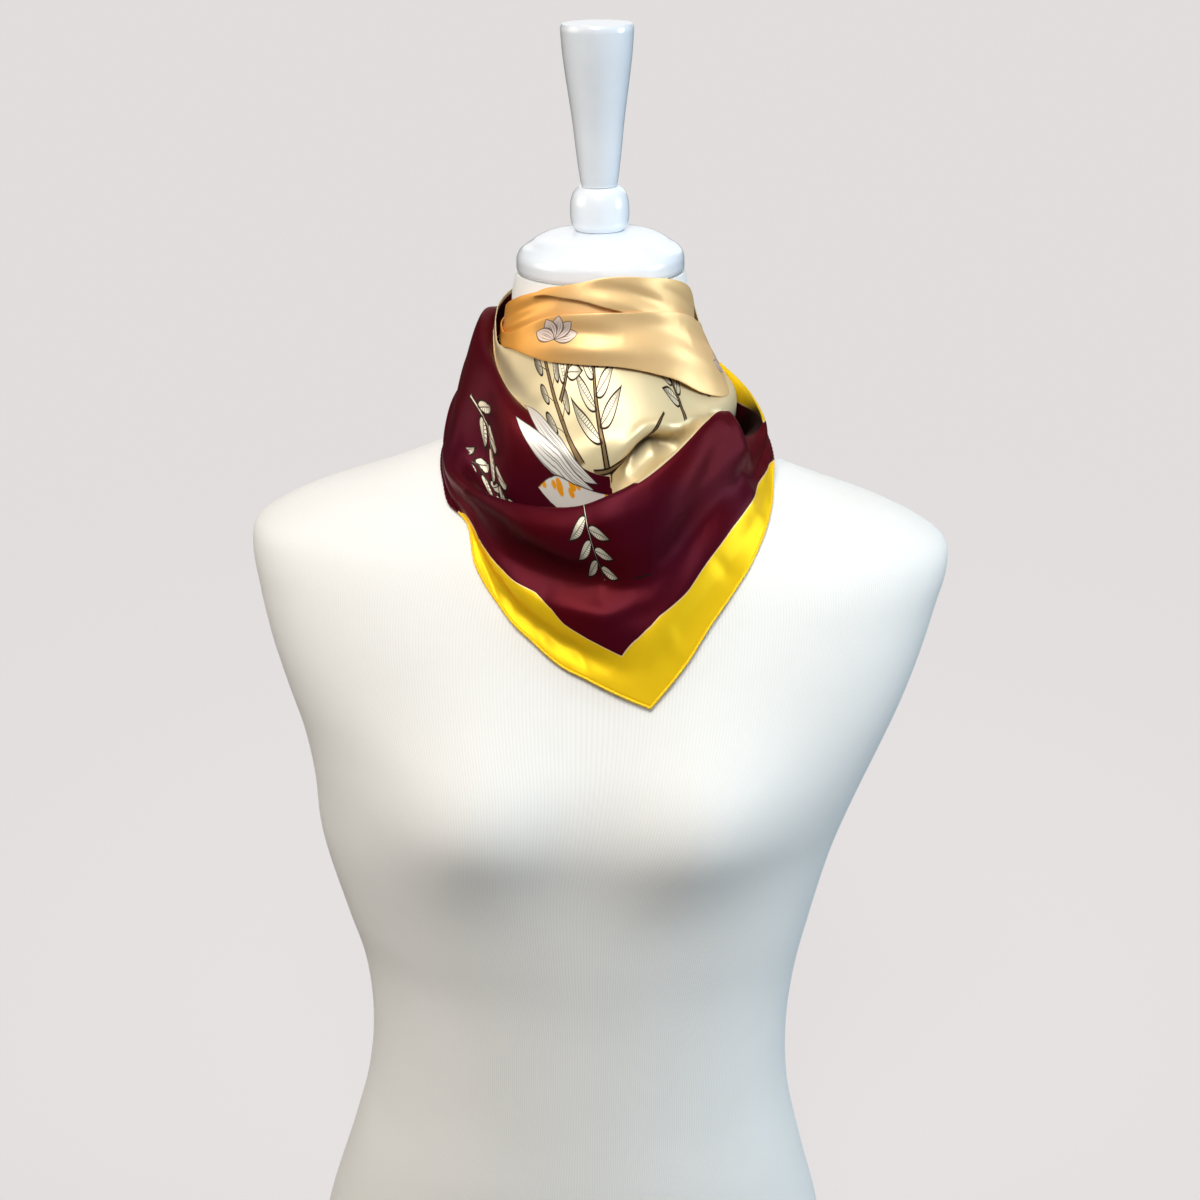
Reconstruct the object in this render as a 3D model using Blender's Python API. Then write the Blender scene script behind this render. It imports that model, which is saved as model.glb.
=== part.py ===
"""A silk square scarf worn as a cowl over the neck of a limbless dress form with a turned finial.

Blender units are metres, +Z is up and the form faces -Y. The origin is the middle of the base
board's underside. The tables are in millimetres. Their heights are counted from the rim of the
neck cap, downwards negative, and their angles are degrees round the neck's axis: 0 is the
front, 90 is towards +X and 180 is the nape."""

import math

import bmesh
import bpy
import numpy as np
from mathutils import Matrix

MM = 0.001
RIM_HEIGHT = 710.0  # rim of the neck cap above the table
GAP = 0.35  # half the slit along the crest, between the cowl and the front fold
SEAM_TURN = 0.3  # degrees: half the slit between a wrap and the front's stretches
CLOTH = 1.2  # wall that stands for one layer of silk
BAND_CLOTH = 1.4  # wall of a pleat, which is two layers
LEAN = math.radians(2.4)  # the neck cap and finial lean towards -X
BOARD_THICKNESS = 10.0
BOARD_SHARE = 0.95  # the board's outline, as a share of the body's
BUST_HEIGHT, BUST_SPACING, BUST_RADIUS, BUST_RISE = -300.0, 144.0, 52.0, 20.0

TORSO_RINGS, TORSO_SIDES = 34, 44
TURNED_SIDES = 32
FRONT_COLUMNS, WRAP_COLUMNS, BAND_COLUMNS = 54, 16, 36
COWL_ROWS, DRAPE_ROWS, WRAP_ROWS = 15, 12, 13

WRAP_LEFT, WRAP_RIGHT = -69.0, 90.0  # where the front's stretches end and the wraps begin
NAPE = 164.4  # where both wraps reach the knot
TIP_ANGLE = 17.0  # the corner of the square, on the chest


def table(names, rows):
    """The rows' columns by name. The first column is the key that the others are read by."""
    return dict(zip(names.split(), np.array(rows, float).T))


def read(rows, column, at):
    """A column of the table at any key, on a smooth curve through its rows."""
    keys, values = next(iter(rows.values())), rows[column]
    slopes = np.gradient(values, keys)
    at = np.clip(at, keys[0], keys[-1])
    i = np.clip(np.searchsorted(keys, at) - 1, 0, len(keys) - 2)
    step = keys[i + 1] - keys[i]
    t = (at - keys[i]) / step
    rise = values[i + 1] - values[i]
    bend = (1 - t) * (slopes[i] * step - rise) + t * (rise - slopes[i + 1] * step)
    return values[i] + t * rise + t * (1 - t) * bend


# The body, from its underside to the top of its neck. A level section is a superellipse with
# its own depth in front and behind.
TORSO = table(
    "height middle half_width front back power",
    [
        (-699.7, 0.0, 165.0, 104.0, 112.0, 2.2),
        (-690, 0.0, 168.0, 106.0, 115.0, 2.2),
        (-660, 0.0, 167.0, 106.0, 115.0, 2.2),
        (-615, 0.0, 158.5, 103.0, 110.0, 2.2),
        (-560, 0.0, 143.0, 96.0, 97.0, 2.15),
        (-520, 0.0, 133.3, 90.0, 84.0, 2.1),
        (-475, 0.0, 130.0, 88.0, 73.0, 2.1),
        (-430, -1.0, 134.7, 91.0, 72.0, 2.1),
        (-397, -3.0, 143.0, 97.0, 76.0, 2.15),
        (-340, -4.0, 157.5, 108.0, 86.0, 2.2),
        (-307, 0.0, 164.5, 115.0, 92.0, 2.25),
        (-273, 3.0, 174.5, 116.0, 97.0, 2.3),
        (-249, 3.5, 183.0, 113.0, 99.0, 2.35),
        (-217, 3.5, 193.0, 107.0, 100.0, 2.35),
        (-190, 3.8, 199.5, 100.0, 98.0, 2.3),
        (-169, 4.5, 203.9, 93.5, 95.3, 2.2),
        (-162, 4.5, 204.0, 91.0, 94.0, 2.15),
        (-156, 4.3, 202.6, 88.6, 92.2, 2.1),
        (-151, 4.2, 198.5, 86.6, 90.8, 2.05),
        (-146, 4.0, 191.0, 84.0, 89.0, 2.0),
        (-134, 3.0, 168.0, 77.0, 84.0, 1.8),
        (-120, 2.0, 126.0, 69.0, 77.0, 1.75),
        (-106, 1.0, 90.0, 62.0, 70.0, 1.85),
        (-92, 0.0, 68.0, 57.0, 64.0, 1.95),
        (-70, 0.0, 55.0, 53.0, 57.0, 2.0),
        (-40, 0.0, 50.5, 50.5, 52.0, 2.0),
        (-8, 0.0, 49.2, 49.2, 49.2, 2.0),
        (-2.3, 0.0, 47.8, 47.8, 47.8, 2.0),
    ],
)

# Turned pieces: radius and height up the finial's own axis.
CAP = [(45.6, -2), (47.2, -0.6), (47.5, 3), (47.3, 6.5), (46, 9.5), (43.5, 11.8), (40, 14)]
CAP += [(36, 16.8), (31, 18.9), (24, 20.3), (16, 21)]
BALL = [(13.6, 21.3), (15.4, 23.5), (16.5, 28), (16.7, 32), (16.2, 38), (14.6, 42.5), (11.6, 45.6)]
CONE = [(9.8, 45.9), (10.3, 47.5), (11.2, 53), (12.6, 64), (14.3, 80), (16.3, 95), (18.1, 108)]
CONE += [(19.5, 120), (20.2, 130), (20.3, 133), (19.4, 134.7)]

# The cloth's section at each angle, from the neck outwards: its top edge, the valley beside the
# neck, the ridge of the roll, the gutter behind the front fold, and that fold's crest.
FOLDS = table(
    "angle top_r top_z valley_r valley_z ridge_r ridge_z gutter_r gutter_z crest_r crest_z",
    [
        (-180, 69, -29, 68.0, -33, 71.0, -37, 68.0, -42, 70, -47),
        (-160, 63, -24, 62.0, -30, 65.5, -35, 62.0, -42, 66, -49),
        (-140, 57, -19, 57.0, -27, 61.0, -33, 58.5, -43, 64, -51),
        (-111, 55.5, -20, 57.0, -27, 62.0, -33, 62.0, -48, 69, -62),
        (-97, 58, -22, 60.0, -27, 64.0, -30, 67.0, -50, 75, -70),
        (-86, 59, -24, 61.5, -29, 67.0, -33, 72.0, -52, 80, -76),
        (-75, 60.8, -30, 62.5, -36, 67.5, -41, 79.0, -67, 86, -88),
        (-68, 61.5, -42, 64.0, -47.5, 70.0, -46.5, 83.0, -74, 91, -95),
        (-59, 60, -44, 65.0, -54.5, 72.2, -51.5, 88.0, -87, 97, -102),
        (-52, 58, -39, 66.0, -59, 73.8, -55.5, 91.0, -96, 100.5, -105),
        (-45, 57.5, -35, 67.0, -62.5, 75.5, -59.5, 93.5, -104, 103, -107.5),
        (-34, 57.5, -34, 69.5, -67, 78.6, -67.5, 95.0, -115, 102.5, -111.5),
        (-24, 57.5, -34, 72.0, -69, 81.5, -75, 95.0, -120, 103, -113.5),
        (-14, 57.5, -37, 73.0, -69, 83.0, -81, 95.0, -121, 103.5, -113.5),
        (-4, 57.5, -38, 72.5, -66, 84.0, -82, 96.0, -119, 104.5, -111),
        (5, 57.5, -38.5, 72.5, -65, 83.5, -82, 95.0, -114, 104.5, -104.5),
        (14, 58, -41, 74.5, -65, 81.0, -82, 91.0, -105, 103.5, -97),
        (24, 59.5, -43, 76.0, -65, 80.0, -79, 89.0, -95, 100.5, -86),
        (32, 60, -45.5, 76.5, -65, 81.0, -75, 87.5, -87.5, 97, -78),
        (40, 61, -49, 76.5, -65, 81.5, -71.5, 86.0, -80, 93, -70.5),
        (53, 64, -54.5, 75.5, -65, 80.0, -68.5, 85.0, -73.5, 91, -67.5),
        (66, 66, -54, 75.5, -63.5, 80.0, -68, 85.0, -75, 93, -75),
        (78, 74, -60, 77.0, -64, 81.0, -69, 86.0, -78, 95, -84),
        (86, 70, -52, 72.0, -55, 76.0, -59, 79.5, -62, 84, -66),
        (91, 65.5, -43, 67.0, -47, 70.0, -51, 72.0, -55, 74, -58),
        (97, 61, -33, 63.0, -40, 67.0, -46, 68.0, -51, 70, -55),
        (111, 56.5, -21, 58.0, -30, 63.0, -38, 62.0, -45, 66, -51),
        (140, 57, -19, 57.0, -27, 61.0, -34, 58.5, -42, 63, -49),
        (160, 63, -24, 62.0, -30, 65.5, -36, 62.0, -42, 66, -48),
        (180, 69, -29, 68.0, -33, 71.0, -37, 68.0, -42, 70, -47),
    ],
)

# How far the front fold bulges, by the share of its drop from the crest to the hem.
FRONT_FOLD = [(0.07, 3.2), (0.25, 3.0), (0.5, -3.2), (0.66, 0.8), (0.85, -0.6)]

# The hem, from the nape to the corner on the chest and from there back to the nape.
HEM_LEFT = table(
    "angle radius height",
    [
        (-180, 68, -52),
        (-160, 65, -58),
        (-140, 65, -67),
        (-111, 74, -88),
        (-97, 80, -96),
        (-86, 85, -101),
        (-75, 90, -107),
        (-65, 94, -114),
        (-55, 97, -125),
        (-44, 99, -135),
        (-35, 107, -157),
        (-25, 108, -177),
        (-16, 108, -190),
        (-9, 108.5, -200),
        (0, 110, -208),
        (8, 113, -215),
        (TIP_ANGLE, 118, -222.5),
    ],
)
HEM_RIGHT = table(
    "angle radius height",
    [
        (TIP_ANGLE, 118, -222.5),
        (28, 118, -196),
        (34, 118, -179),
        (40, 118.5, -165),
        (47, 118.5, -150),
        (54, 116, -137),
        (62, 112, -125),
        (72, 106, -113),
        (77, 104, -104),
        (80, 101, -95),
        (82.5, 97.5, -85),
        (84.5, 93, -77),
        (87, 85, -68),
        (91, 76, -62),
        (100, 70, -60),
        (120, 66, -61),
        (150, 64, -59),
        (180, 68, -52),
    ],
)

# The pleats round the neck, by their upper and lower edges.
BAND_COLUMN_NAMES = "angle top_r top_z low_r low_z"
BAND_TOP = table(
    BAND_COLUMN_NAMES,
    [
        (-38, 59.0, -6.6, 59.4, -8.4),
        (-32, 58.8, -3.2, 59.6, -6.6),
        (-20, 58.6, 0.0, 60.0, -6.5),
        (-8, 58.4, 3.0, 60.3, -7.5),
        (0, 58.4, 5.2, 60.5, -9.5),
        (13, 58.2, 6.2, 60.4, -13),
        (28, 58.0, 5.0, 60.0, -19),
        (49, 56.5, 1.2, 59.0, -26),
        (69, 54.8, -7.0, 56.5, -30),
        (80, 54.2, -15, 55.0, -32),
        (95, 53.2, -22, 53.6, -36),
        (112, 52.6, -27, 52.8, -38),
    ],
)
BAND_MIDDLE = table(
    BAND_COLUMN_NAMES,
    [
        (-95, 52.6, -27, 53.0, -39),
        (-84, 53.6, -23, 54.6, -40),
        (-74, 55.0, -20, 55.8, -39),
        (-60, 57.0, -14.5, 58.4, -36),
        (-48, 57.4, -9.5, 59.0, -31),
        (-32, 56.4, -4.5, 58.6, -24),
        (-15, 55.6, -3, 57.8, -20),
        (0, 55.5, -5, 57.6, -19),
        (20, 55.5, -9, 57.0, -20),
        (45, 54.0, -16, 55.5, -24),
    ],
)
BAND_LOWER = table(
    BAND_COLUMN_NAMES,
    [
        (-95, 54.6, -31, 55.2, -43),
        (-84, 56.4, -32, 57.0, -43),
        (-74, 57.8, -32.5, 58.2, -42),
        (-60, 60.6, -32.5, 61.4, -41),
        (-54, 61.0, -31, 62.0, -40),
        (-42, 61.3, -25, 63.0, -40.4),
        (-28, 61.5, -18, 63.5, -42),
        (-9, 62.0, -14, 63.5, -42),
        (16, 62.5, -12.8, 65.5, -43.3),
        (28, 63.0, -13, 68.0, -46.5),
        (38, 63.0, -14, 70.6, -50.5),
        (53, 62.0, -18, 75.0, -58.5),
        (60, 60.8, -21, 76.5, -60),
        (70, 59.5, -26, 78.0, -59),
        (76, 58.2, -28, 74.5, -57),
        (82, 57.2, -30, 69.0, -53.5),
        (88, 56.2, -31, 63.0, -50),
        (97, 55.3, -32, 57.5, -46),
        (112, 54.6, -33, 55.4, -44),
    ],
)

# The free ends below the knot, by the distance from it.
TAIL = table(
    "distance half_width lift",
    [(0, 6.5, 12), (15, 9.5, 8), (40, 15, 6), (75, 21, 5), (105, 25, 4.5), (140, 0.8, 4)],
)
TAIL_TOP, TAIL_SPLAY, TAIL_OFFSET = -55.2, math.radians(17), 9.5
KNOT_CENTRE, KNOT_SIZE = (0, 68.4, -39.5), (19, 13.5, 15.5)


def clear_scene():
    for thing in list(bpy.data.objects):
        bpy.data.objects.remove(thing)


def material(name, colour, roughness):
    made = bpy.data.materials.new(name)
    made.use_nodes = True
    shader = made.node_tree.nodes["Principled BSDF"]
    shader.inputs["Base Color"].default_value = (*colour, 1)
    shader.inputs["Roughness"].default_value = roughness
    shader.inputs["Metallic"].default_value = 0
    made.diffuse_color = (*colour, 1)
    return made


def placed(points):
    """Millimetres from the rim of the cap to metres above the table."""
    return (np.asarray(points, float) + (0, 0, RIM_HEIGHT)) * MM


def add_object(name, points, faces, finish):
    """A closed mesh as a smooth-shaded object with its faces outwards."""
    mesh = bpy.data.meshes.new(name)
    mesh.from_pydata([tuple(p) for p in points], [], faces)
    shell = bmesh.new()
    shell.from_mesh(mesh)
    bmesh.ops.recalc_face_normals(shell, faces=shell.faces)
    shell.to_mesh(mesh)
    shell.free()
    mesh.shade_smooth()
    mesh.set_sharp_from_angle(angle=math.radians(40))
    made = bpy.data.objects.new(name, mesh)
    bpy.context.scene.collection.objects.link(made)
    mesh.materials.append(finish)
    return made


def round_neck(angle, radius, height):
    """The point at this angle and radius from the neck's axis."""
    turn = np.radians(angle)
    return np.stack([radius * np.sin(turn), -radius * np.cos(turn), height + 0 * turn], -1)


def torso_point(height, turn):
    """A point of the body's surface, by its height and its turn round the section."""
    cos, sin = np.cos(turn), np.sin(turn)
    power = 2 / read(TORSO, "power", height)
    depth = np.where(sin < 0, read(TORSO, "front", height), read(TORSO, "back", height))
    x = read(TORSO, "half_width", height) * np.sign(cos) * np.abs(cos) ** power
    y = depth * np.sign(sin) * np.abs(sin) ** power
    for side in (-1, 1):
        away = (x - side * BUST_SPACING / 2) ** 2 + (height - BUST_HEIGHT) ** 2
        y = y - BUST_RISE * np.exp(-away / BUST_RADIUS**2) * np.clip(-sin, 0, 1)
    return x + read(TORSO, "middle", height), y


def torso_radius(angle, height):
    """How far the body reaches from the neck's axis at this angle and height."""
    height = np.minimum(height, -8.0)
    power = read(TORSO, "power", height)
    direction = np.radians(angle)
    sin, cos = np.abs(np.sin(direction)), np.cos(direction)
    depth = np.where(cos > 0, read(TORSO, "front", height), read(TORSO, "back", height))
    across = sin / read(TORSO, "half_width", height)
    return (across**power + (np.abs(cos) / depth) ** power) ** (-1 / power)


def torso_back(x, height):
    """How far behind the neck's axis the body's back lies."""
    power = read(TORSO, "power", height)
    share = np.clip(np.abs(x) / read(TORSO, "half_width", height), 0, 0.98)
    return read(TORSO, "back", height) * (1 - share**power) ** (1 / power)


def even_heights(count):
    """Heights that space the rings evenly along the body's side outline."""
    fine = np.linspace(TORSO["height"][0], TORSO["height"][-1], 2000)
    side = read(TORSO, "half_width", fine)
    run = np.concatenate([[0], np.cumsum(np.hypot(np.diff(side), np.diff(fine)))])
    return np.interp(np.linspace(0, run[-1], count), run, fine)


def leaned(points, share=1.0):
    """The points turned by the finial's lean about the middle of the rim, or by a share of it."""
    turn = LEAN * np.asarray(share)
    x, y, z = np.moveaxis(np.asarray(points, float), -1, 0)
    return np.stack([x * np.cos(turn) - z * np.sin(turn), y, z * np.cos(turn) + x * np.sin(turn)], -1)


def make_torso(finish):
    turns = np.linspace(0, 2 * math.pi, TORSO_SIDES, endpoint=False)
    rings = []
    for height in even_heights(TORSO_RINGS):
        x, y = torso_point(height, turns)
        ring = np.stack([x, y, np.full_like(x, height)], -1)
        rings.append(leaned(ring, np.clip((height + 30) / 28, 0, 1)))
    loft("torso", rings, finish)


def loft(name, rings, finish):
    """A solid through closed rings of the same number of points, with flat ends."""
    count = len(rings[0])
    faces = [list(range(count)), [len(rings) * count - 1 - i for i in range(count)]]
    for row in range(len(rings) - 1):
        for i in range(count):
            j = (i + 1) % count
            low, high = row * count, (row + 1) * count
            faces.append([low + i, low + j, high + j, high + i])
    return add_object(name, placed(np.concatenate(rings)), faces, finish)


def make_board(finish):
    turns = np.linspace(0, 2 * math.pi, TORSO_SIDES, endpoint=False)
    x, y = torso_point(TORSO["height"][0], turns)
    outline = np.stack([x * BOARD_SHARE, y * BOARD_SHARE, 0 * x], -1)
    rings = [outline + (0, 0, level - RIM_HEIGHT) for level in (0, BOARD_THICKNESS)]
    board = loft("base_board", rings, finish)
    rounding = board.modifiers.new("edge", "BEVEL")
    rounding.width = 1.5 * MM
    rounding.segments = 2
    rounding.limit_method = "ANGLE"


def make_turned(name, profile, finish):
    """Spins a profile of radius and height round the finial's axis."""
    wire = bmesh.new()
    ends = [(0, profile[0][1]), *profile, (0, profile[-1][1])]
    dots = [wire.verts.new((radius, 0, height)) for radius, height in ends]
    lines = [wire.edges.new(pair) for pair in zip(dots, dots[1:])]
    bmesh.ops.spin(
        wire,
        geom=dots + lines,
        axis=(0, 0, 1),
        cent=(0, 0, 0),
        angle=2 * math.pi,
        steps=TURNED_SIDES,
        use_merge=True,
    )
    bmesh.ops.remove_doubles(wire, verts=wire.verts, dist=0.01)
    wire.verts.index_update()
    points = leaned([tuple(v.co) for v in wire.verts])
    faces = [[v.index for v in face.verts] for face in wire.faces]
    wire.free()
    add_object(name, placed(points), faces, finish)


def hem_at(angle):
    side = HEM_LEFT if angle <= TIP_ANGLE else HEM_RIGHT
    return float(read(side, "radius", angle)), float(read(side, "height", angle))


def section(angle):
    """The cloth's section at this angle by its run, and the run at its crest and at its hem."""
    knots = [
        (float(read(FOLDS, f"{line}_r", angle)), float(read(FOLDS, f"{line}_z", angle)))
        for line in ("top", "valley", "ridge", "gutter", "crest")
    ]
    hem_r, hem_z = hem_at(angle)
    crest_r, crest_z = knots[4]
    drop = crest_z - hem_z
    for share, bulge in FRONT_FOLD:
        reach = min(1.0, drop / 70)
        radius = crest_r + (hem_r - crest_r) * share + bulge * reach
        knots.append((radius, crest_z - drop * share))
    knots.append((hem_r, hem_z))
    radius, height = np.array(knots).T
    run = np.concatenate([[0], np.cumsum(np.hypot(np.diff(radius), np.diff(height)))])
    return table("run radius height", list(zip(run, radius, height))), run[4], run[-1]


def column(angle, first, last, rows, shift=0.0):
    """Points down the section, from one part of it to another: 0 top, 1 crest, 2 hem."""
    lines, crest, hem = section(angle)
    start, end = np.interp([first, last], [0, 1, 2], [0.0, crest, hem])
    start, end = start + GAP * (first == 1), end - GAP * (last == 1)
    run = np.clip(np.linspace(start, end, rows) + shift, 0, hem)
    radius, height = read(lines, "radius", run), read(lines, "height", run)
    clear = torso_radius(angle, height) + CLOTH + 1.5
    radius = np.where(height < -85, np.maximum(radius, clear), radius)
    return round_neck(angle, radius, height)


def unit_normals(along, down):
    normal = np.cross(along, down)
    return normal / np.linalg.norm(normal, axis=-1, keepdims=True)


def make_wall(name, grid, inwards, finish):
    """A wall between a grid of points and the same grid moved by the inwards vectors."""
    rows, columns = grid.shape[:2]
    count = rows * columns
    faces = []
    for i in range(rows - 1):
        for j in range(columns - 1):
            a, b = i * columns + j, (i + 1) * columns + j
            quad = [a, b, b + 1, a + 1]
            faces += [quad, [count + v for v in reversed(quad)]]
    index = np.arange(count).reshape(rows, columns)
    rim = np.concatenate([index[0], index[1:, -1], index[-1, -2::-1], index[-2:0:-1, 0]]).tolist()
    for a, b in zip(rim, rim[1:] + rim[:1]):
        faces.append([a, b, count + b, count + a])
    points = np.concatenate([grid.reshape(-1, 3), (grid + inwards).reshape(-1, 3)])
    return add_object(name, placed(points), faces, finish)


def spaced_angles(start, end, count):
    """Angles that space the columns evenly along the hem, with one on the corner."""
    fine = np.linspace(start, end, 600)
    hem = np.array([round_neck(a, *hem_at(a)) for a in fine])
    run = np.concatenate([[0], np.cumsum(np.linalg.norm(np.diff(hem, axis=0), axis=1))])
    run = run + np.linspace(0, 0.6 * run[-1], len(run))
    angles = np.interp(np.linspace(0, run[-1], count), run, fine)
    if start < TIP_ANGLE < end:
        angles[np.argmin(np.abs(angles - TIP_ANGLE))] = TIP_ANGLE
    return angles


def make_stretch(name, angles, first, last, rows, finish):
    """A wall of cloth between these angles and these parts of the section."""

    def grid(turn=0.0, shift=0.0):
        return np.stack([column(a + turn, first, last, rows, shift) for a in angles], axis=1)

    along, down = grid(turn=1) - grid(turn=-1), grid(shift=3) - grid(shift=-3)
    normal = unit_normals(along, down)
    make_wall(name, grid(), -CLOTH * normal, finish)


def make_band(name, edges, finish):
    """A flat pleat round the neck: a closed section with rounded edges, swept by angle."""
    keys = edges["angle"]
    half = BAND_CLOTH / 2
    loops = []
    for angle in np.linspace(keys[0], keys[-1], BAND_COLUMNS):
        top_r, top_z, low_r, low_z = (
            float(read(edges, name, angle)) for name in ("top_r", "top_z", "low_r", "low_z")
        )
        share = np.linspace(0, 1, 5)
        middle_r = top_r + (low_r - top_r) * share - half
        middle_z = top_z + (low_z - top_z) * share
        length = math.hypot(low_r - top_r, low_z - top_z)
        across = np.array([top_z - low_z, low_r - top_r]) / length * half
        outer = [(r + across[0], z + across[1]) for r, z in zip(middle_r, middle_z)]
        inner = [(r - across[0], z - across[1]) for r, z in zip(middle_r, middle_z)]
        lip = np.array([low_r - top_r, low_z - top_z]) / length * half
        low = [(middle_r[-1] + lip[0], middle_z[-1] + lip[1])]
        high = [(middle_r[0] - lip[0], middle_z[0] - lip[1])]
        loop = np.array(outer + low + inner[::-1] + high)
        loops.append(round_neck(angle + 0 * loop[:, 0], loop[:, 0], loop[:, 1]))
    return loft(name, loops, finish)


def make_tail(name, side, finish):
    """A free end of the scarf that lies on the body's back and ends in a corner."""
    rows, columns = 14, 7
    distance = np.linspace(0, TAIL["distance"][-1], rows)[:, None]
    across = np.linspace(-1, 1, columns)[None, :]
    half = read(TAIL, "half_width", distance)
    x = side * (TAIL_OFFSET + distance * math.sin(TAIL_SPLAY)) + across * half
    z = TAIL_TOP - distance * math.cos(TAIL_SPLAY) - 0 * across
    folds = 1.8 * np.cos(across * 3 * math.pi) * np.clip(1 - distance / 90, 0, 1)
    y = torso_back(x, z) + read(TAIL, "lift", distance) + folds
    grid = np.stack([x, y, z], -1)
    normal = unit_normals(np.gradient(grid, axis=0), np.gradient(grid, axis=1))
    make_wall(name, grid, -CLOTH * normal, finish)


def make_knot(finish):
    """The tie at the nape: a rounded lump with a raised strand that crosses it."""
    ball = bmesh.new()
    bmesh.ops.create_uvsphere(ball, u_segments=20, v_segments=12, radius=1.0)
    points = np.array([tuple(v.co) for v in ball.verts])
    faces = [[v.index for v in face.verts] for face in ball.faces]
    ball.free()
    x, z = points[:, 0], points[:, 2]
    points[:, 1] *= 1 + 0.16 * np.exp(-(((x + 0.55 * z) / 0.42) ** 2)) - 0.06 * np.abs(z)
    add_object("nape_knot", placed(points * KNOT_SIZE + KNOT_CENTRE), faces, finish)


def main():
    clear_scene()
    jersey = material("jersey", (0.80, 0.79, 0.75), 0.9)
    paint = material("white_paint", (0.85, 0.85, 0.84), 0.25)
    board = material("board", (0.62, 0.60, 0.56), 0.7)
    maroon = material("maroon_silk", (0.09, 0.008, 0.018), 0.35)
    cream = material("cream_silk", (0.80, 0.68, 0.42), 0.35)
    peach = material("peach_silk", (0.86, 0.55, 0.25), 0.35)

    make_torso(jersey)
    make_board(board)
    make_turned("neck_cap", CAP, paint)
    make_turned("finial_ball", BALL, paint)
    make_turned("finial_cone", CONE, paint)

    front = spaced_angles(WRAP_LEFT + SEAM_TURN, WRAP_RIGHT - SEAM_TURN, FRONT_COLUMNS)
    make_stretch("cowl_inner", front, 0, 1, COWL_ROWS, cream)
    make_stretch("front_drape", front, 1, 2, DRAPE_ROWS, maroon)
    left = np.linspace(-NAPE, WRAP_LEFT - SEAM_TURN, WRAP_COLUMNS)
    make_stretch("left_wrap", left, 0, 2, WRAP_ROWS, maroon)
    right = np.linspace(WRAP_RIGHT + SEAM_TURN, NAPE, WRAP_COLUMNS)
    make_stretch("right_wrap", right, 0, 2, WRAP_ROWS, cream)

    make_band("neck_band_top", BAND_TOP, peach)
    make_band("neck_band_middle", BAND_MIDDLE, peach)
    make_band("neck_band_lower", BAND_LOWER, peach)

    make_knot(maroon)
    make_tail("left_tail", -1, maroon)
    make_tail("right_tail", 1, maroon)


main()
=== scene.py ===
# %% [markdown]
# # A silk square on a dress form
# The CAD frame holds the plain solids of a dress form and of the scarf that it wears. This lesson
# gives them their looks: silk that falls in soft folds, ribbed jersey, glossy paint. Each step
# says what a piece is on the real object and how it is made here. Tables are in millimetres, with
# heights counted from the rim of the neck cap, downwards negative, and with angles in degrees
# round the neck: 0 is the front, 90 is towards +X and 180 is the nape.

import math

import bmesh
import bpy
import numpy as np
from mathutils import Matrix, Vector


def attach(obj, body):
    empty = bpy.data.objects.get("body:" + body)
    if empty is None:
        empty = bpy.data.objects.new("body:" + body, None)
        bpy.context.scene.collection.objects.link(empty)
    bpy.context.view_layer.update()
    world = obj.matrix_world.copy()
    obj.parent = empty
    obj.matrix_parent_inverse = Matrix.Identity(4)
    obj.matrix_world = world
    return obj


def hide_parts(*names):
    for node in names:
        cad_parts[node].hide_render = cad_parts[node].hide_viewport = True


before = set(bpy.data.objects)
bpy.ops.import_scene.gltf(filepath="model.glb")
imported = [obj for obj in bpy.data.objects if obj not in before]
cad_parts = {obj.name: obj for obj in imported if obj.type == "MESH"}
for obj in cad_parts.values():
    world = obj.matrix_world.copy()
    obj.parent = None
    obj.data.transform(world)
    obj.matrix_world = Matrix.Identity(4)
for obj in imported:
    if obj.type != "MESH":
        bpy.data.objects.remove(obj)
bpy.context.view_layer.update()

# %% [markdown]
# ## Camera
# A dress form is looked at through a long lens from a little above the chest, so that the folds
# at the neck are seen into. The camera tips down by 19.5 degrees and leans by less than two. Its
# matrix is put together from the three directions that it looks along, because that is easier to
# follow than three chained turns.

# %% Camera
PITCH, ROLL = math.radians(19.5), math.radians(1.66)
CAMERA_PLACE, FOCAL_LENGTH, SENSOR_WIDTH = (0.00519, -1.344, 0.98568), 72, 36
forward = Vector((0, math.cos(PITCH), -math.sin(PITCH)))
right = Vector((1, 0, 0))
up = right.cross(forward)
camera_right = right * math.cos(ROLL) + up * math.sin(ROLL)
camera_up = up * math.cos(ROLL) - right * math.sin(ROLL)
lens = bpy.data.cameras.new("camera")
lens.lens, lens.sensor_width = FOCAL_LENGTH, SENSOR_WIDTH
camera = bpy.data.objects.new("camera", lens)
directions = Matrix((camera_right, camera_up, -forward)).transposed().to_4x4()
camera.matrix_world = Matrix.Translation(CAMERA_PLACE) @ directions
bpy.context.scene.collection.objects.link(camera)
bpy.context.scene.camera = camera
print("camera at", tuple(round(v, 3) for v in camera.location))

# %% [markdown]
# ## Studio
# A studio needs few tools: ways to select a piece and to name what an operator has just made, a
# way to give colours as they are read from a paint card, and a lamp that is aimed by a direction.
# They are written once here and used in the cells below.

# %% Studio helpers
def deselect():
    if bpy.context.mode != "OBJECT":
        bpy.ops.object.mode_set(mode="OBJECT")
    bpy.ops.object.select_all(action="DESELECT")


def choose(piece):
    """Makes this piece the active one and the only one selected."""
    deselect()
    bpy.context.view_layer.objects.active = piece
    piece.select_set(True)


def named(name):
    """The object that an operator has just made, under its own name."""
    piece = bpy.context.object
    piece.name = piece.data.name = name
    return piece


def colour(red, green, blue):
    """A colour as read from a paint card, 0 to 255, in the linear values that shaders use."""
    steps = np.array((red, green, blue)) / 255
    linear = np.where(steps > 0.04045, ((steps + 0.055) / 1.055) ** 2.4, steps / 12.92)
    return (*linear.tolist(), 1.0)


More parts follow.
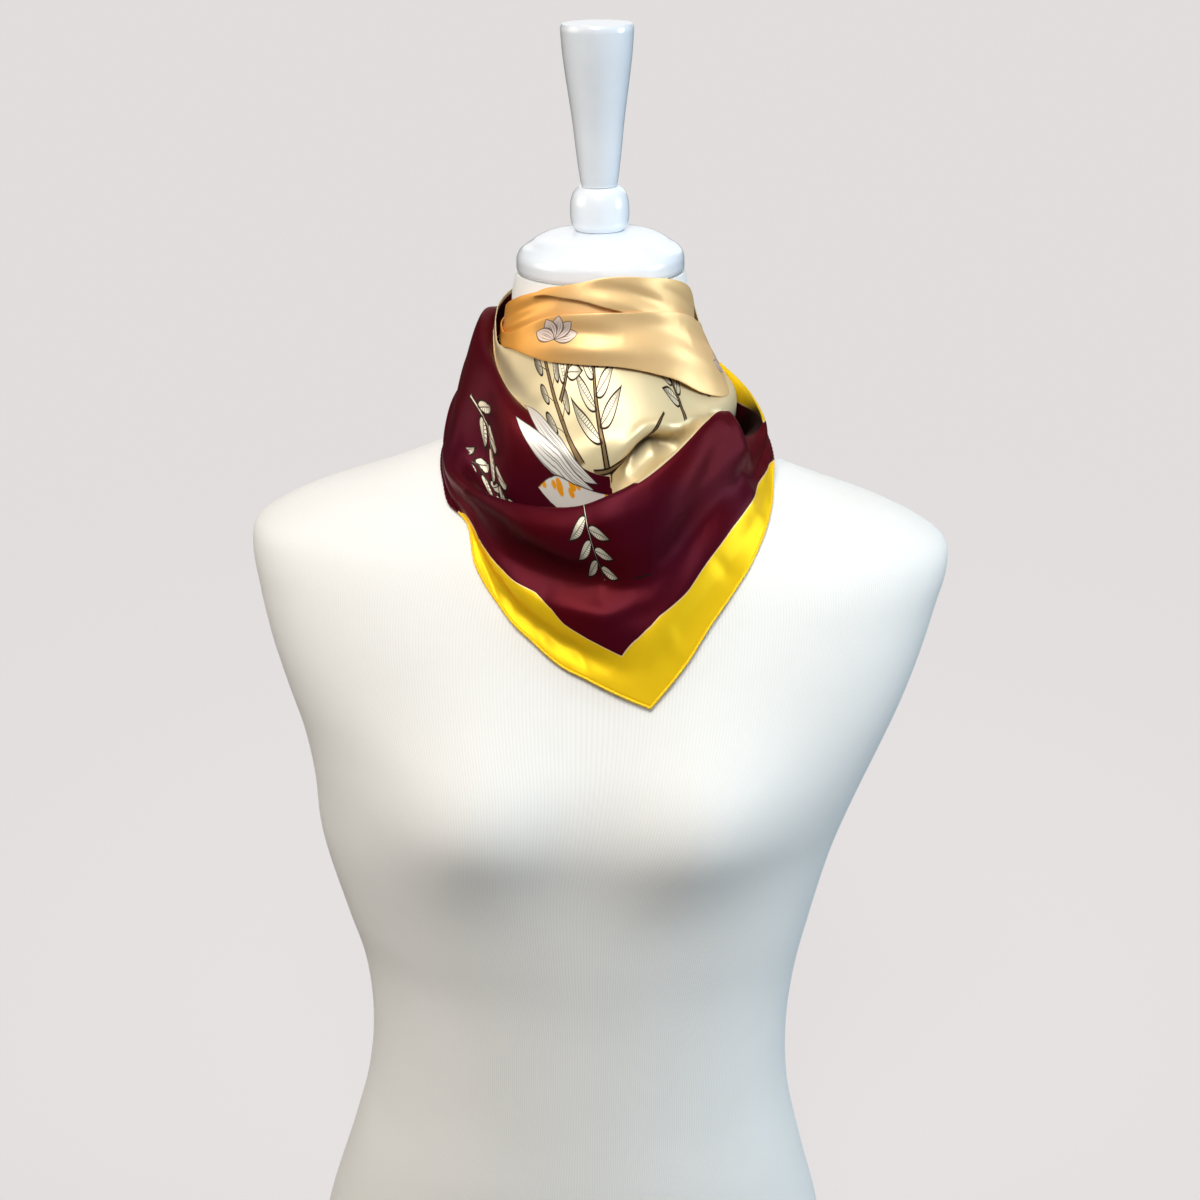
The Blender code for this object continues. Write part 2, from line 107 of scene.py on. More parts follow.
def light(name, kind, towards, strength, tint):
    """A lamp that shines from this direction, as an object."""
    lamp = bpy.data.lights.new(name, kind)
    lamp.energy, lamp.color = strength, tint
    made = bpy.data.objects.new(name, lamp)
    made.rotation_euler = Vector(towards).to_track_quat("Z", "Y").to_euler()
    bpy.context.scene.collection.objects.link(made)
    return made


# %% [markdown]
# ## Lights and floor
# A plain pale floor, one soft spot on the chest, and weaker broad lights from above, from both
# sides and from behind. A cool light on one side and a warm one on the other round the body
# without any hard shadow. The floor and the room behind it are given the same pale grey, so that
# no horizon shows. The view transform is Standard, so that a printed silk keeps its full colour.

# %% Studio
FLOOR_SIZE = 60
scene = bpy.context.scene
scene.view_settings.view_transform = "Standard"
scene.world = bpy.data.worlds.new("studio")
scene.world.use_nodes = True
sky = scene.world.node_tree
room = sky.nodes["Background"]
room.inputs["Color"].default_value = (0.93, 0.95, 1, 1)
room.inputs["Strength"].default_value = 0.08
backdrop = sky.nodes.new("ShaderNodeBackground")
backdrop.inputs["Color"].default_value = colour(227, 223, 222)
seen = sky.nodes.new("ShaderNodeLightPath").outputs["Is Camera Ray"]
both = sky.nodes.new("ShaderNodeMixShader")
for socket, source in zip(both.inputs, (seen, room.outputs[0], backdrop.outputs[0])):
    sky.links.new(source, socket)
sky.links.new(both.outputs[0], sky.nodes["World Output"].inputs["Surface"])
# name, direction, spread in degrees, strength and colour
SUNS = [
    ("overhead", (0, -0.12, 1), 60, 0.7, (1, 0.985, 0.965)),
    ("window", (1, -0.14, 0.16), 24, 1.9, (0.66, 0.84, 1)),
    ("warm_wall", (-1, -0.14, 0.16), 40, 1.35, (1, 0.9, 0.78)),
    ("from_behind", (0.1, 1, 0.5), 60, 0.7, (1, 1, 1)),
]
for name, towards, spread, strength, tint in SUNS:
    light(name, "SUN", towards, strength, tint).data.angle = math.radians(spread)
SPOT_TILT, SPOT_CONE, SPOT_WATTS, SPOT_SOFTNESS = math.radians(41.2), math.radians(27), 190, 0.45
towards_spot = (-0.08, -math.cos(SPOT_TILT), math.sin(SPOT_TILT))
key = light("key", "SPOT", towards_spot, SPOT_WATTS, (1, 0.99, 0.975))
key.location, key.scale = (-0.1, -1.2, 1.58), (1.45, 1, 1)
key.data.spot_size, key.data.spot_blend, key.data.shadow_soft_size = SPOT_CONE, 1, SPOT_SOFTNESS
deselect()
bpy.ops.mesh.primitive_plane_add(size=FLOOR_SIZE, location=(0, 0, 0))
floor = named("floor")
print("lights", len(bpy.data.lights))

# %% [markdown]
# ## Tables
# The solids were drawn from small tables of points, read on smooth curves. The same tables are
# repeated here, so that each fine piece lies where its solid does. Most of them are read by angle.

# %% Reading a table
MM = 0.001
RIM_HEIGHT = 710.0
LEAN = math.radians(2.4)


def table(names, rows):
    """The rows' columns by name. The first column is the key that the others are read by."""
    return dict(zip(names.split(), np.array(rows, float).T))


def read(rows, column, at):
    """A column of the table at any key, on a smooth curve through its rows."""
    keys, values = next(iter(rows.values())), rows[column]
    slopes = np.gradient(values, keys)
    at = np.clip(at, keys[0], keys[-1])
    i = np.clip(np.searchsorted(keys, at) - 1, 0, len(keys) - 2)
    step = keys[i + 1] - keys[i]
    t = (at - keys[i]) / step
    rise = values[i + 1] - values[i]
    bend = (1 - t) * (slopes[i] * step - rise) + t * (rise - slopes[i + 1] * step)
    return values[i] + t * rise + t * (1 - t) * bend


def runs_of(points):
    """How far each point lies along the line through all of them."""
    steps = np.linalg.norm(np.diff(np.asarray(points, float), axis=0), axis=1)
    return np.concatenate([[0], np.cumsum(steps)])


def placed(points):
    """Millimetres from the rim of the cap to metres above the table."""
    return (np.asarray(points, float) + (0, 0, RIM_HEIGHT)) * MM


def leaned(points, share=1.0):
    """The points turned by the finial's lean about the middle of the rim, or by a share of it."""
    turn = LEAN * np.asarray(share)
    cos, sin = np.cos(turn), np.sin(turn)
    x, y, z = np.moveaxis(np.asarray(points, float), -1, 0)
    return np.stack([x * cos - z * sin, y, z * cos + x * sin], -1)


# %% [markdown]
# ## The body in numbers
# A dress form is a padded shell. Its section at each height is a rounded oval, wider than it is
# deep, with its own depth at the front and at the back, so six numbers a row describe it from the
# hips to the neck. Two soft rises make the bust. The last two helpers ask the same table how far
# the body reaches at a place, so that cloth can be laid on it and not through it.

# %% The body's table
TORSO = table("height middle half_width front back power", [
    (-699.7, 0, 165, 104, 112, 2.2), (-690, 0, 168, 106, 115, 2.2), (-660, 0, 167, 106, 115, 2.2),
    (-615, 0, 158.5, 103, 110, 2.2), (-560, 0, 143, 96, 97, 2.15), (-520, 0, 133.3, 90, 84, 2.1),
    (-475, 0, 130, 88, 73, 2.1), (-430, -1, 134.7, 91, 72, 2.1), (-397, -3, 143, 97, 76, 2.15),
    (-340, -4, 157.5, 108, 86, 2.2), (-307, 0, 164.5, 115, 92, 2.25),
    (-273, 3, 174.5, 116, 97, 2.3), (-249, 3.5, 183, 113, 99, 2.35),
    (-217, 3.5, 193, 107, 100, 2.35), (-190, 3.8, 199.5, 100, 98, 2.3),
    (-169, 4.5, 203.9, 93.5, 95.3, 2.2), (-162, 4.5, 204, 91, 94, 2.15),
    (-156, 4.3, 202.6, 88.6, 92.2, 2.1), (-151, 4.2, 198.5, 86.6, 90.8, 2.05),
    (-146, 4, 191, 84, 89, 2), (-134, 3, 168, 77, 84, 1.8), (-120, 2, 126, 69, 77, 1.75),
    (-106, 1, 90, 62, 70, 1.85), (-92, 0, 68, 57, 64, 1.95), (-70, 0, 55, 53, 57, 2),
    (-40, 0, 50.5, 50.5, 52, 2), (-8, 0, 49.2, 49.2, 49.2, 2), (-2.3, 0, 47.8, 47.8, 47.8, 2),
])
BUST_HEIGHT, BUST_SPACING, BUST_RADIUS, BUST_RISE = -300.0, 144.0, 52.0, 20.0


def torso_point(height, turn):
    """A point of the body's surface, by its height and its turn round the section."""
    cos, sin = np.cos(turn), np.sin(turn)
    power = 2 / read(TORSO, "power", height)
    depth = np.where(sin < 0, read(TORSO, "front", height), read(TORSO, "back", height))
    x = read(TORSO, "half_width", height) * np.sign(cos) * np.abs(cos) ** power
    y = depth * np.sign(sin) * np.abs(sin) ** power
    for side in (-1, 1):
        away = (x - side * BUST_SPACING / 2) ** 2 + (height - BUST_HEIGHT) ** 2
        y = y - BUST_RISE * np.exp(-away / BUST_RADIUS**2) * np.clip(-sin, 0, 1)
    return x + read(TORSO, "middle", height), y


def torso_radius(angle, height):
    """How far the body reaches from the neck's axis at this angle and height."""
    height = np.minimum(height, -8.0)
    power = read(TORSO, "power", height)
    direction = np.radians(angle)
    sin, cos = np.abs(np.sin(direction)), np.cos(direction)
    depth = np.where(cos > 0, read(TORSO, "front", height), read(TORSO, "back", height))
    across = sin / read(TORSO, "half_width", height)
    return (across**power + (np.abs(cos) / depth) ** power) ** (-1 / power)


def torso_back(x, height):
    """How far behind the neck's axis the body's back lies."""
    power = read(TORSO, "power", height)
    share = np.clip(np.abs(x) / read(TORSO, "half_width", height), 0, 0.98)
    return read(TORSO, "back", height) * (1 - share**power) ** (1 / power)


print("body", len(TORSO["height"]), "rows")

# %% [markdown]
# ## From a grid to a piece
# Cloth, jersey and turned wood are all curved sheets to a modeller: a grid primitive whose points
# are carried to their places. The grid brings a UV map with it, and each point's place in the flat
# cloth is written there, so that a print or a rib follows the surface wherever it bends. A sheet
# that goes right round is sewn up along its seam and closed at its ends in edit mode.

# %% Grid helpers
def lay_grid(name, points, flat, stretch=None):
    """A grid primitive carried to these points: rows from below, columns anticlockwise seen from
    above. flat holds each point's place in the flat cloth, for the UV map. Where the sheet shows
    several stretches of the cloth, flat is a stack of such grids, and stretch says for each cell
    which of them it takes, so that no cell is smeared across a jump."""
    rows, columns = points.shape[:2]
    deselect()
    bpy.ops.mesh.primitive_grid_add(x_subdivisions=columns - 1, y_subdivisions=rows - 1, size=1)
    piece = named(name)
    piece.data.vertices.foreach_set("co", placed(points).astype(np.float32).ravel())
    corners = np.empty(len(piece.data.loops), np.int32)
    piece.data.loops.foreach_get("vertex_index", corners)
    first = corners.reshape(-1, 4).min(axis=1)
    taken = 0 if stretch is None else np.repeat(stretch[first // columns, first % columns], 4)
    uv_map = piece.data.uv_layers[0]
    uv_map.name = "cloth"
    places = flat.reshape(-1, rows * columns, 2)[taken, corners]
    uv_map.data.foreach_set("uv", places.astype(np.float32).ravel())
    piece.data.update()
    return piece


def sew_up(piece):
    """Joins the seam of a grid that goes right round, closes its ends and turns it outwards."""
    choose(piece)
    bpy.ops.object.mode_set(mode="EDIT")
    bpy.ops.mesh.select_all(action="SELECT")
    bpy.ops.mesh.remove_doubles(threshold=0.01 * MM)
    bpy.ops.mesh.fill_holes(sides=0)
    bpy.ops.mesh.select_all(action="SELECT")
    bpy.ops.mesh.normals_make_consistent(inside=False)
    bpy.ops.object.mode_set(mode="OBJECT")


def finish_piece(piece, material, smooth=40):
    """Smooth shading up to this angle, the material, and the body that the piece rides on."""
    choose(piece)
    bpy.ops.object.shade_smooth_by_angle(angle=math.radians(smooth))
    piece.data.materials.clear()
    piece.data.materials.append(material)
    piece.select_set(False)
    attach(piece, "root")
    print(piece.name, len(piece.data.polygons), "faces")


def applied(piece, kind, **values):
    """Adds a modifier with these values and applies it."""
    choose(piece)
    modifier = piece.modifiers.new("step", kind)
    for key, value in values.items():
        setattr(modifier, key, value)
    bpy.ops.object.modifier_apply(modifier=modifier.name)


def unit(vectors):
    return vectors / np.maximum(np.linalg.norm(vectors, axis=-1, keepdims=True), 1e-9)


def outwards(points):
    """Unit normals of a grid laid out as lay_grid takes it."""
    return unit(np.cross(np.gradient(points, axis=1), np.gradient(points, axis=0)))


# %% [markdown]
# ## Wiring shaders in code
# A procedural finish is a small calculation: where am I on the cloth, which colour is printed
# there, how high is the thread. A socket that carries a number is wrapped here as a Term, which is
# added and multiplied like any number, and every such sum makes its own Math node. So each finish
# below reads as the sum it is.

# %% Node helpers
class Term:
    """A value that changes over the surface: an output socket and the node tree it is in."""

    def __init__(self, tree, socket):
        self.tree, self.socket = tree, socket

    def __add__(self, other):
        return calc("ADD", self, other)

    def __sub__(self, other):
        return calc("SUBTRACT", self, other)

    def __rsub__(self, other):
        return calc("SUBTRACT", other, self)

    def __mul__(self, other):
        return calc("MULTIPLY", self, other)

    def __truediv__(self, other):
        return calc("DIVIDE", self, other)

    def __abs__(self):
        return calc("ABSOLUTE", self)


def wire(node, **values):
    """Links the node's inputs to terms, or sets them to plain values, by their names."""
    for key, value in values.items():
        feed(node.inputs[key.replace("_", " ")], value)


def feed(socket, value):
    if isinstance(value, Term):
        value.tree.links.new(value.socket, socket)
    else:
        socket.default_value = value


def add_node(tree, kind, **values):
    node = tree.nodes.new("ShaderNode" + kind)
    wire(node, **values)
    return node


def source(tree, kind, output, **settings):
    """What a node without inputs gives, such as a place on the surface."""
    node = add_node(tree, kind)
    for key, value in settings.items():
        setattr(node, key, value)
    return Term(tree, node.outputs[output])


def calc(operation, *values):
    """A Math node for these numbers and terms."""
    tree = next(value.tree for value in values if isinstance(value, Term))
    node = add_node(tree, "Math")
    node.operation = operation
    for socket, value in zip(node.inputs, values):
        feed(socket, value)
    return Term(tree, node.outputs[0])


def chain(operation, first, *rest):
    """One operation over several terms, such as the highest of them."""
    for term in rest:
        first = calc(operation, first, term)
    return first


def step_up(value, at, soft):
    """0 below at, 1 above it, with a soft edge."""
    node = add_node(value.tree, "MapRange", Value=value, From_Min=at - soft, From_Max=at + soft)
    node.interpolation_type = "SMOOTHSTEP"
    return Term(value.tree, node.outputs[0])


def step_down(value, at, soft):
    return 1 - step_up(value, at, soft)


PRINT_EDGE = 0.2


def line_at(value, half):
    """1 where the value is within half of zero, with the edge of a printed line."""
    return step_down(abs(value), half, PRINT_EDGE)


# where a Mix node keeps its share and its two colours, and its own colour
MIX_INPUTS, MIX_COLOUR = (0, 6, 7), 2


def blend(share, first, second):
    """The first colour where the share is 0, and the second where it is 1."""
    node = add_node(share.tree, "Mix")
    node.data_type = "RGBA"
    for place, value in zip(MIX_INPUTS, (share, first, second)):
        feed(node.inputs[place], value)
    return Term(share.tree, node.outputs[MIX_COLOUR])


def noise(vector, scale, detail=2.0):
    node = add_node(vector.tree, "TexNoise", Vector=vector, Scale=scale, Detail=detail)
    return Term(vector.tree, node.outputs["Fac"])


def split(vector):
    """The x, y and z of a vector."""
    node = add_node(vector.tree, "SeparateXYZ", Vector=vector)
    return [Term(vector.tree, socket) for socket in node.outputs]


def new_group(name, inputs, outputs):
    """A shader group. An input's value says its kind: None is a vector, a number is a float."""
    group = bpy.data.node_groups.new(name, "ShaderNodeTree")
    for title, value in inputs.items():
        kind = "NodeSocketVector" if value is None else "NodeSocketFloat"
        socket = group.interface.new_socket(name=title, in_out="INPUT", socket_type=kind)
        if value is not None:
            socket.default_value = value
    for title in outputs:
        kind = "NodeSocketColor" if title == "Colour" else "NodeSocketFloat"
        group.interface.new_socket(name=title, in_out="OUTPUT", socket_type=kind)
    sockets = group.nodes.new("NodeGroupInput").outputs
    given = [Term(group, sockets[title]) for title in inputs]
    return group, given, group.nodes.new("NodeGroupOutput")


def use_group(tree, group, **values):
    """The group as a node of this tree, by its outputs' names."""
    node = add_node(tree, "Group")
    node.node_tree = group
    wire(node, **values)
    return {socket.name: Term(tree, socket) for socket in node.outputs}


print("node helpers ready")

# %% [markdown]
# ## A printed twig
# The print is drawn in line: stems with pointed leaves, or with berries. One group draws a whole
# twig from a handful of numbers. It measures along the stem and away from it, folds both sides
# onto one, and repeats a single leaf at an even spacing, so that a twig of ten leaves costs no
# more than one.

# %% Twig group
PLACE = {"Across": 0.0, "Along": 0.0, "Place X": 0.0, "Place Y": 0.0, "Turn": 0.0}
TWIG = {**PLACE, "Length": 50.0, "Bend": 0.0, "Leaf Length": 14.0, "Leaf Width": 2.4}
TWIG.update({"Spacing": 12.0, "Tilt": 0.7, "Berries": 0.0, "Stem": 0.8})


def up_and_aside(across, along, place_x, place_y, turn):
    """How far a point lies up a line that starts at a place, and to the side of that line."""
    from_x, from_y = across - place_x, along - place_y
    cos, sin = calc("COSINE", turn), calc("SINE", turn)
    return from_x * cos + from_y * sin, from_y * cos - from_x * sin


twig, given, result = new_group("twig", TWIG, ["Ink", "Fill", "Wood"])
up_stem, aside = up_and_aside(*given[: len(PLACE)])
length, bend, leaf_length, leaf_width, spacing, tilt, berries, thick = given[len(PLACE) :]
aside = aside - bend * (up_stem * up_stem)
away, share = abs(aside), up_stem / length
on_stem = step_up(share, 0, 0.01) * step_up(1 - share, 0, 0.01)
from_stem = away - thick * (1 - share * 0.55)
stem = on_stem * step_down(from_stem, 0, PRINT_EDGE)
stem_edge = on_stem * line_at(from_stem, 0.42)

leaf_sin = calc("SINE", tilt)
foot = up_stem - away / calc("TANGENT", tilt)
foot = foot + calc("SIGN", aside) * (spacing * 0.22)
leaf_foot = calc("ROUND", foot / spacing) * spacing
across_leaf = abs((foot - leaf_foot) * leaf_sin)
foot_share = leaf_foot / length
has_leaf = calc("GREATER_THAN", foot_share, 0.04) * calc("LESS_THAN", foot_share, 1.02)
leaf_length = leaf_length * (1 - foot_share * 0.42)
up_leaf = away / leaf_sin / leaf_length
leaf_half = up_leaf * (1 - up_leaf) * (leaf_width * 4.6)
leaf_half = leaf_half * calc("MAXIMUM", 0.1, 1.25 - up_leaf * 0.75)
from_leaf = across_leaf - leaf_half
to_berry = (up_leaf - 0.8) * leaf_length
from_berry = calc("SQRT", to_berry * to_berry + across_leaf * across_leaf) - leaf_width
from_shape = from_leaf * (1 - berries) + from_berry * berries
leaf_body = has_leaf * step_down(from_shape, 0, PRINT_EDGE)
edge = has_leaf * line_at(from_shape, 0.46)
rib = has_leaf * step_down(up_leaf, 0.8, 0.05) * line_at(across_leaf, 0.22)
veins = calc("SINE", (away / leaf_sin + across_leaf) * 4.2)
veins = step_up(veins, 0.55, 0.3) * (leaf_body * 0.7)
dark_tip = leaf_body * (step_up(up_leaf, 0.7, 0.3) * 0.8)
ink = chain("MAXIMUM", edge, rib, stem_edge, veins, dark_tip)
wire(result, Ink=ink, Fill=calc("MAXIMUM", leaf_body, stem), Wood=stem)
print("twig group", len(twig.nodes), "nodes")

# %% [markdown]
# ## A printed petal
# Large petals are drawn in the same way: a long lens shape about a straight line, closed at both
# ends, with fine strokes that spread from its foot and a thin outline. Four or five of them, turned
# about one foot, make a blossom.

# %% Petal group
PETAL = {**PLACE, "Length": 40.0, "Width": 8.0}
petal, given, result = new_group("petal", PETAL, ["Ink", "Fill", "Rim"])
up_petal, aside = up_and_aside(*given[: len(PLACE)])
length, width = given[len(PLACE) :]
aside, share = abs(aside), up_petal / length
half = share * (1 - share) * (width * 4)
veins = calc("SINE", aside / calc("MAXIMUM", half, 0.3) * 16)
fill = step_down(aside - half, 0, PRINT_EDGE)
ink = fill * step_down(share, 0.66, 0.2) * step_up(veins, 0.7, 0.2)
wire(result, Ink=ink, Fill=fill, Rim=line_at(aside - half, 0.28))
print("petal group", len(petal.nodes), "nodes")

# %% [markdown]
# ## The printed silk
# The square is printed in zones that follow its edges: a yellow border with a thin pale line, a
# broad maroon frame, a cream field, and a peach middle. Each zone is a distance from the nearest
# edge, so it needs no picture. Twigs and petals are then laid over them by their places in
# millimetres on the flat cloth. The satin itself is a fine slanting thread that barely rises.

# %% Silk print group
SIDE = 700.0
BORDER, FRAME_WIDTH, FIELD_WIDTH, LINE_WIDTH = 24.0, 130.0, 245.0, 0.45
YELLOW, DEEP_YELLOW, PALE_LINE = colour(250, 206, 28), colour(238, 190, 12), colour(240, 208, 150)
MAROON, PURPLE_SHEEN = colour(84, 6, 13), colour(70, 8, 27)
CREAM, SHADED_CREAM = colour(228, 213, 172), colour(208, 186, 132)
PEACH, PEACH_IN_SHADE, BLOSSOM = colour(250, 210, 150), colour(240, 168, 72), colour(236, 214, 200)
INK, STEM_FILL, LEAF_WHITE = colour(34, 24, 18), colour(132, 108, 74), colour(240, 230, 200)
PALE_LEAF, PETAL_WHITE = colour(238, 228, 204), colour(228, 222, 212)
DOT_ORANGE, DEEP_SHADE = colour(244, 160, 28), colour(12, 6, 4)

# place x, place y, turn, length, bend, leaf length, leaf width, spacing, tilt, berries, stem
CREAM_TWIGS = [
    (357, 131, 103, 78, -0.0010, 28, 3.7, 18, 42, 0, 1.2),
    (344, 131, 140, 76, -0.0016, 16, 3.7, 15, 50, 1, 1.7),
    (400, 136, 78, 46, 0.0030, 18, 3.1, 13, 40, 0, 0.9),
    (350, 130, 16, 42, 0.0040, 0.1, 0.1, 40, 40, 0, 1.1),
    (327, 152, 82, 44, 0.0030, 19, 3.0, 14, 42, 0, 0.9),
    (430, 150, 120, 40, 0.0030, 15, 2.4, 13, 38, 0, 0.8),
]
MAROON_TWIGS = [
    (86, 96, 232, 52, -0.0022, 21, 3.3, 14, 54, 0, 0.7),
    (250, 60, 12, 50, 0.0030, 15, 2.6, 12, 40, 0, 0.6),
    (60, 252, 80, 38, 0.0030, 15, 2.6, 12, 40, 0, 0.6),
]
BOWL_TWIGS = [(265, 94, 338, 48, 0.0030, 13, 2.6, 11, 44, 0, 0.7)]
# place x, place y, turn, length, width, dots
FIELD_PETALS = [
    (352, 126, 172, 52, 5, 0), (350, 123, 184, 46, 6, 0),
    (360, 121, 203, 42, 8, 1), (364, 121, 224, 30, 6, 1),
]
BLOSSOMS = [(326, 367, turn, 13, 3.6, 0) for turn in (10, 45, 80, 115, 150)]
BLOSSOMS += [(430, 350, turn, 12, 3.4, 0) for turn in (30, 70, 110, 150)]
BLOSSOMS += [(262, 338, turn, 12, 3.4, 0) for turn in (0, 40, 80, 120)]

GIVEN = {"Vector": None, "Place": None, "Shade": 0.0}
silk_print, given, result = new_group("silk_print", GIVEN, ["Colour", "Rough", "Thread"])
flat, place, darkness = given
across, along = (part * SIDE for part in split(flat)[:2])
inwards = chain("MINIMUM", across, SIDE - across, along, SIDE - along)
broad, mottle = noise(place, 13), noise(place, 38, 3)
# The peach middle is painted a deeper orange on the -X side of each piece: painted shade, where the
# pleats lie under their folds.
unshaded_right = step_up(split(place)[0] + broad * 0.05, 0, 0.035)


def zone(start):
    return step_up(inwards, start, 0.12)


def printed(group, names, row):
    """One motif: the group with a row of values for its inputs, in their order."""
    values = dict(zip([name for name in names if name not in ("Across", "Along")], row))
    for angle in {"Turn", "Tilt"} & set(values):
        values[angle] = math.radians(values[angle])
    return use_group(silk_print, group, Across=across, Along=along, **values)


def draw_twigs(ground, rows, fill_colour, wood_colour, within):
    for row in rows:
        out = printed(twig, TWIG, row)
        for part, shade in (("Fill", fill_colour), ("Wood", wood_colour), ("Ink", INK)):
            ground = blend(out[part] * within, ground, shade)
    return ground


def draw_petals(ground, rows, within, petal_colour):
    cells = add_node(silk_print, "TexVoronoi", Vector=flat, Scale=160, Randomness=0.8)
    dot = step_down(Term(silk_print, cells.outputs["Distance"]), 0.46, 0.06)
    for *row, dotted in rows:
        out = printed(petal, PETAL, row)
        face = blend(dot, petal_colour, DOT_ORANGE) if dotted else petal_colour
        ground = blend(out["Fill"] * within, ground, face)
        if not dotted:
            ground = blend(out["Ink"] * (within * 0.7), ground, INK)
        ground = blend(out["Rim"] * (within * 0.85), ground, INK)
    return ground


in_frame, in_field, in_middle = zone(BORDER + LINE_WIDTH), zone(FRAME_WIDTH), zone(FIELD_WIDTH)
in_frame_only = in_frame - in_field
ground = blend(zone(BORDER), blend(mottle * 0.25, YELLOW, DEEP_YELLOW), PALE_LINE)
# Broad patches of purple in the maroon, placed by noise, are painted sheen.
ground = blend(in_frame, ground, blend(step_up(broad, 0.5, 0.2), MAROON, PURPLE_SHEEN))
ground = draw_twigs(ground, MAROON_TWIGS, PALE_LEAF, PALE_LEAF, in_frame_only)
cream = blend(step_up(broad, 0.55, 0.2) * 0.6, CREAM, SHADED_CREAM)
ground = blend(in_field, ground, cream)
ground = draw_twigs(ground, CREAM_TWIGS, LEAF_WHITE, STEM_FILL, in_field - in_middle)
ground = draw_petals(ground, FIELD_PETALS, 1 - in_middle, PETAL_WHITE)
ground = draw_twigs(ground, BOWL_TWIGS, PALE_LEAF, PALE_LEAF, in_frame_only)
# peach middle, with painted shade in deeper orange on the -X side
ground = blend(in_middle, ground, blend(unshaded_right, PEACH_IN_SHADE, PEACH))
ground = draw_petals(ground, BLOSSOMS, in_middle, BLOSSOM)
weave = calc("SINE", (across + along * 1.7) * 9)
wire(result, Colour=blend(darkness, ground, DEEP_SHADE))
wire(result, Rough=mottle * 0.14 + 0.32, Thread=weave * 0.3 + mottle * 1.2)
print("silk print", len(silk_print.nodes), "nodes")

# %% [markdown]
# ## Silk as a material
# Satin is smooth along its thread and soft across it, so it shines broadly and in its own colour.
# A little metallic weight with a middling roughness gives that, where a plain glossy coat would
# look like plastic. Its glints are given one warm tint, or dark silk would seem dusty. Between two
# layers of cloth hardly any light arrives, and the sheet carries that as an attribute of its
# points, which the print group darkens by.

# %% Finishes
WARM_GLINT = (1, 0.5, 0.5, 1)
FINE = 0.00012


def new_material(name, **values):
    """A new material, its node tree, and its Principled shader with these plain values."""
    made = bpy.data.materials.new(name)
    made.use_nodes = True
    shader = made.node_tree.nodes["Principled BSDF"]
    wire(shader, **values)
    return made, made.node_tree, shader


def bump(shader, height, distance, strength):
    tree = height.tree
    node = add_node(tree, "Bump", Height=height, Distance=distance, Strength=strength)
    wire(shader, Normal=Term(tree, node.outputs["Normal"]))


def silk_finish(name):
    made, tree, shader = new_material(name, Metallic=0.36, Specular_IOR_Level=0.16)
    wire(shader, Specular_Tint=WARM_GLINT)
    where = {"Vector": source(tree, "UVMap", "UV", uv_map="cloth")}
    where["Place"] = source(tree, "TexCoord", "Object")
    where["Shade"] = source(tree, "Attribute", "Fac", attribute_name="in_shade")
    out = use_group(tree, silk_print, **where)
    wire(shader, Base_Color=out["Colour"], Roughness=out["Rough"])
    bump(shader, out["Thread"], FINE, 0.35)
    return made


silk, peach = silk_finish("printed_silk"), silk_finish("peach_silk")

# %% [markdown]
# ## Jersey, paint, thread and board
# The body's cover is a fine ribbed knit: vertical ribs, with the loops of each row across them,
# both narrower than a millimetre. The turned pieces have brushed gloss paint, the hem has twisted
# sewing thread, and the board below is plainly painted.

# %% Jersey and paint
RIBS, KNIT_ROWS = 640, 700
FLOOR_GREY, FLOOR_SEEN = (0.16, 0.16, 0.16, 1), (0.1, 0.1, 0.1, 1)
BLACK, FLOOR_GLOW = (0, 0, 0, 1), (0.7, 0.673, 0.666, 1)

jersey, tree, shader = new_material("ribbed_jersey", Roughness=0.85, Sheen_Weight=0.1)
flat = source(tree, "UVMap", "UV", uv_map="cloth")
flat_x, flat_y, _ = split(flat)
rib = calc("SINE", flat_x * (2 * math.pi * RIBS))
knit = calc("SINE", flat_y * (2 * math.pi * KNIT_ROWS))
base = blend(noise(flat, 14, 4), colour(244, 243, 239), colour(236, 235, 230))
# The grooves between the ribs are painted darker: painted shade in the hollows of the knit.
groove = step_down(rib, -0.5, 0.45)
wire(shader, Base_Color=blend(groove * 0.12, base, colour(188, 184, 176)))
bump(shader, rib + knit * 0.35, FINE, 0.35)

paint, tree, shader = new_material("glossy_paint", Coat_Weight=0.4, Coat_Roughness=0.08)
place = source(tree, "TexCoord", "Object")
brushed = noise(place, 60, 3)
wire(shader, Base_Color=blend(brushed, colour(238, 243, 248), colour(228, 234, 241)))
wire(shader, Roughness=brushed * 0.12 + 0.14)
bump(shader, noise(place, 240), 0.0002, 0.15)


def grained(name, roughness, grain, shades, relief):
    """A finish in two shades that follow one noise, which also lifts the surface a little."""
    made, tree, shader = new_material(name, Roughness=roughness)
    mottled = noise(source(tree, "TexCoord", "Object"), *grain)
    wire(shader, Base_Color=blend(mottled, *shades))
    bump(shader, mottled, *relief)
    return made


THREAD_SHADES = colour(255, 232, 140), colour(222, 168, 60)
BOARD_SHADES = colour(208, 204, 196), colour(192, 186, 176)
thread = grained("sewing_thread", 0.55, (900, 2), THREAD_SHADES, (0.0002, 0.4))
board_paint = grained("board_paint", 0.5, (45, 4), BOARD_SHADES, (0.0004, 0.3))

floor_finish, tree, shader = new_material("floor_finish", Roughness=0.9, Emission_Strength=1)
seen = source(tree, "LightPath", "Is Camera Ray")
wire(shader, Base_Color=blend(seen, FLOOR_GREY, FLOOR_SEEN), Specular_IOR_Level=0)
wire(shader, Emission_Color=blend(seen, BLACK, FLOOR_GLOW))
floor.data.materials.append(floor_finish)
print("finishes", [m.name for m in (silk, peach, jersey, paint, board_paint, floor_finish)])

# %% [markdown]
# ## The body
# The jersey is stretched over the padding without a fold. The body is made as rings of points,
# spaced evenly along its side outline, so that its ribs keep one width from the hips to the
# shoulders. Near the top the rings lean with the neck's cap.

# %% Body
RINGS, SIDES = 170, 180


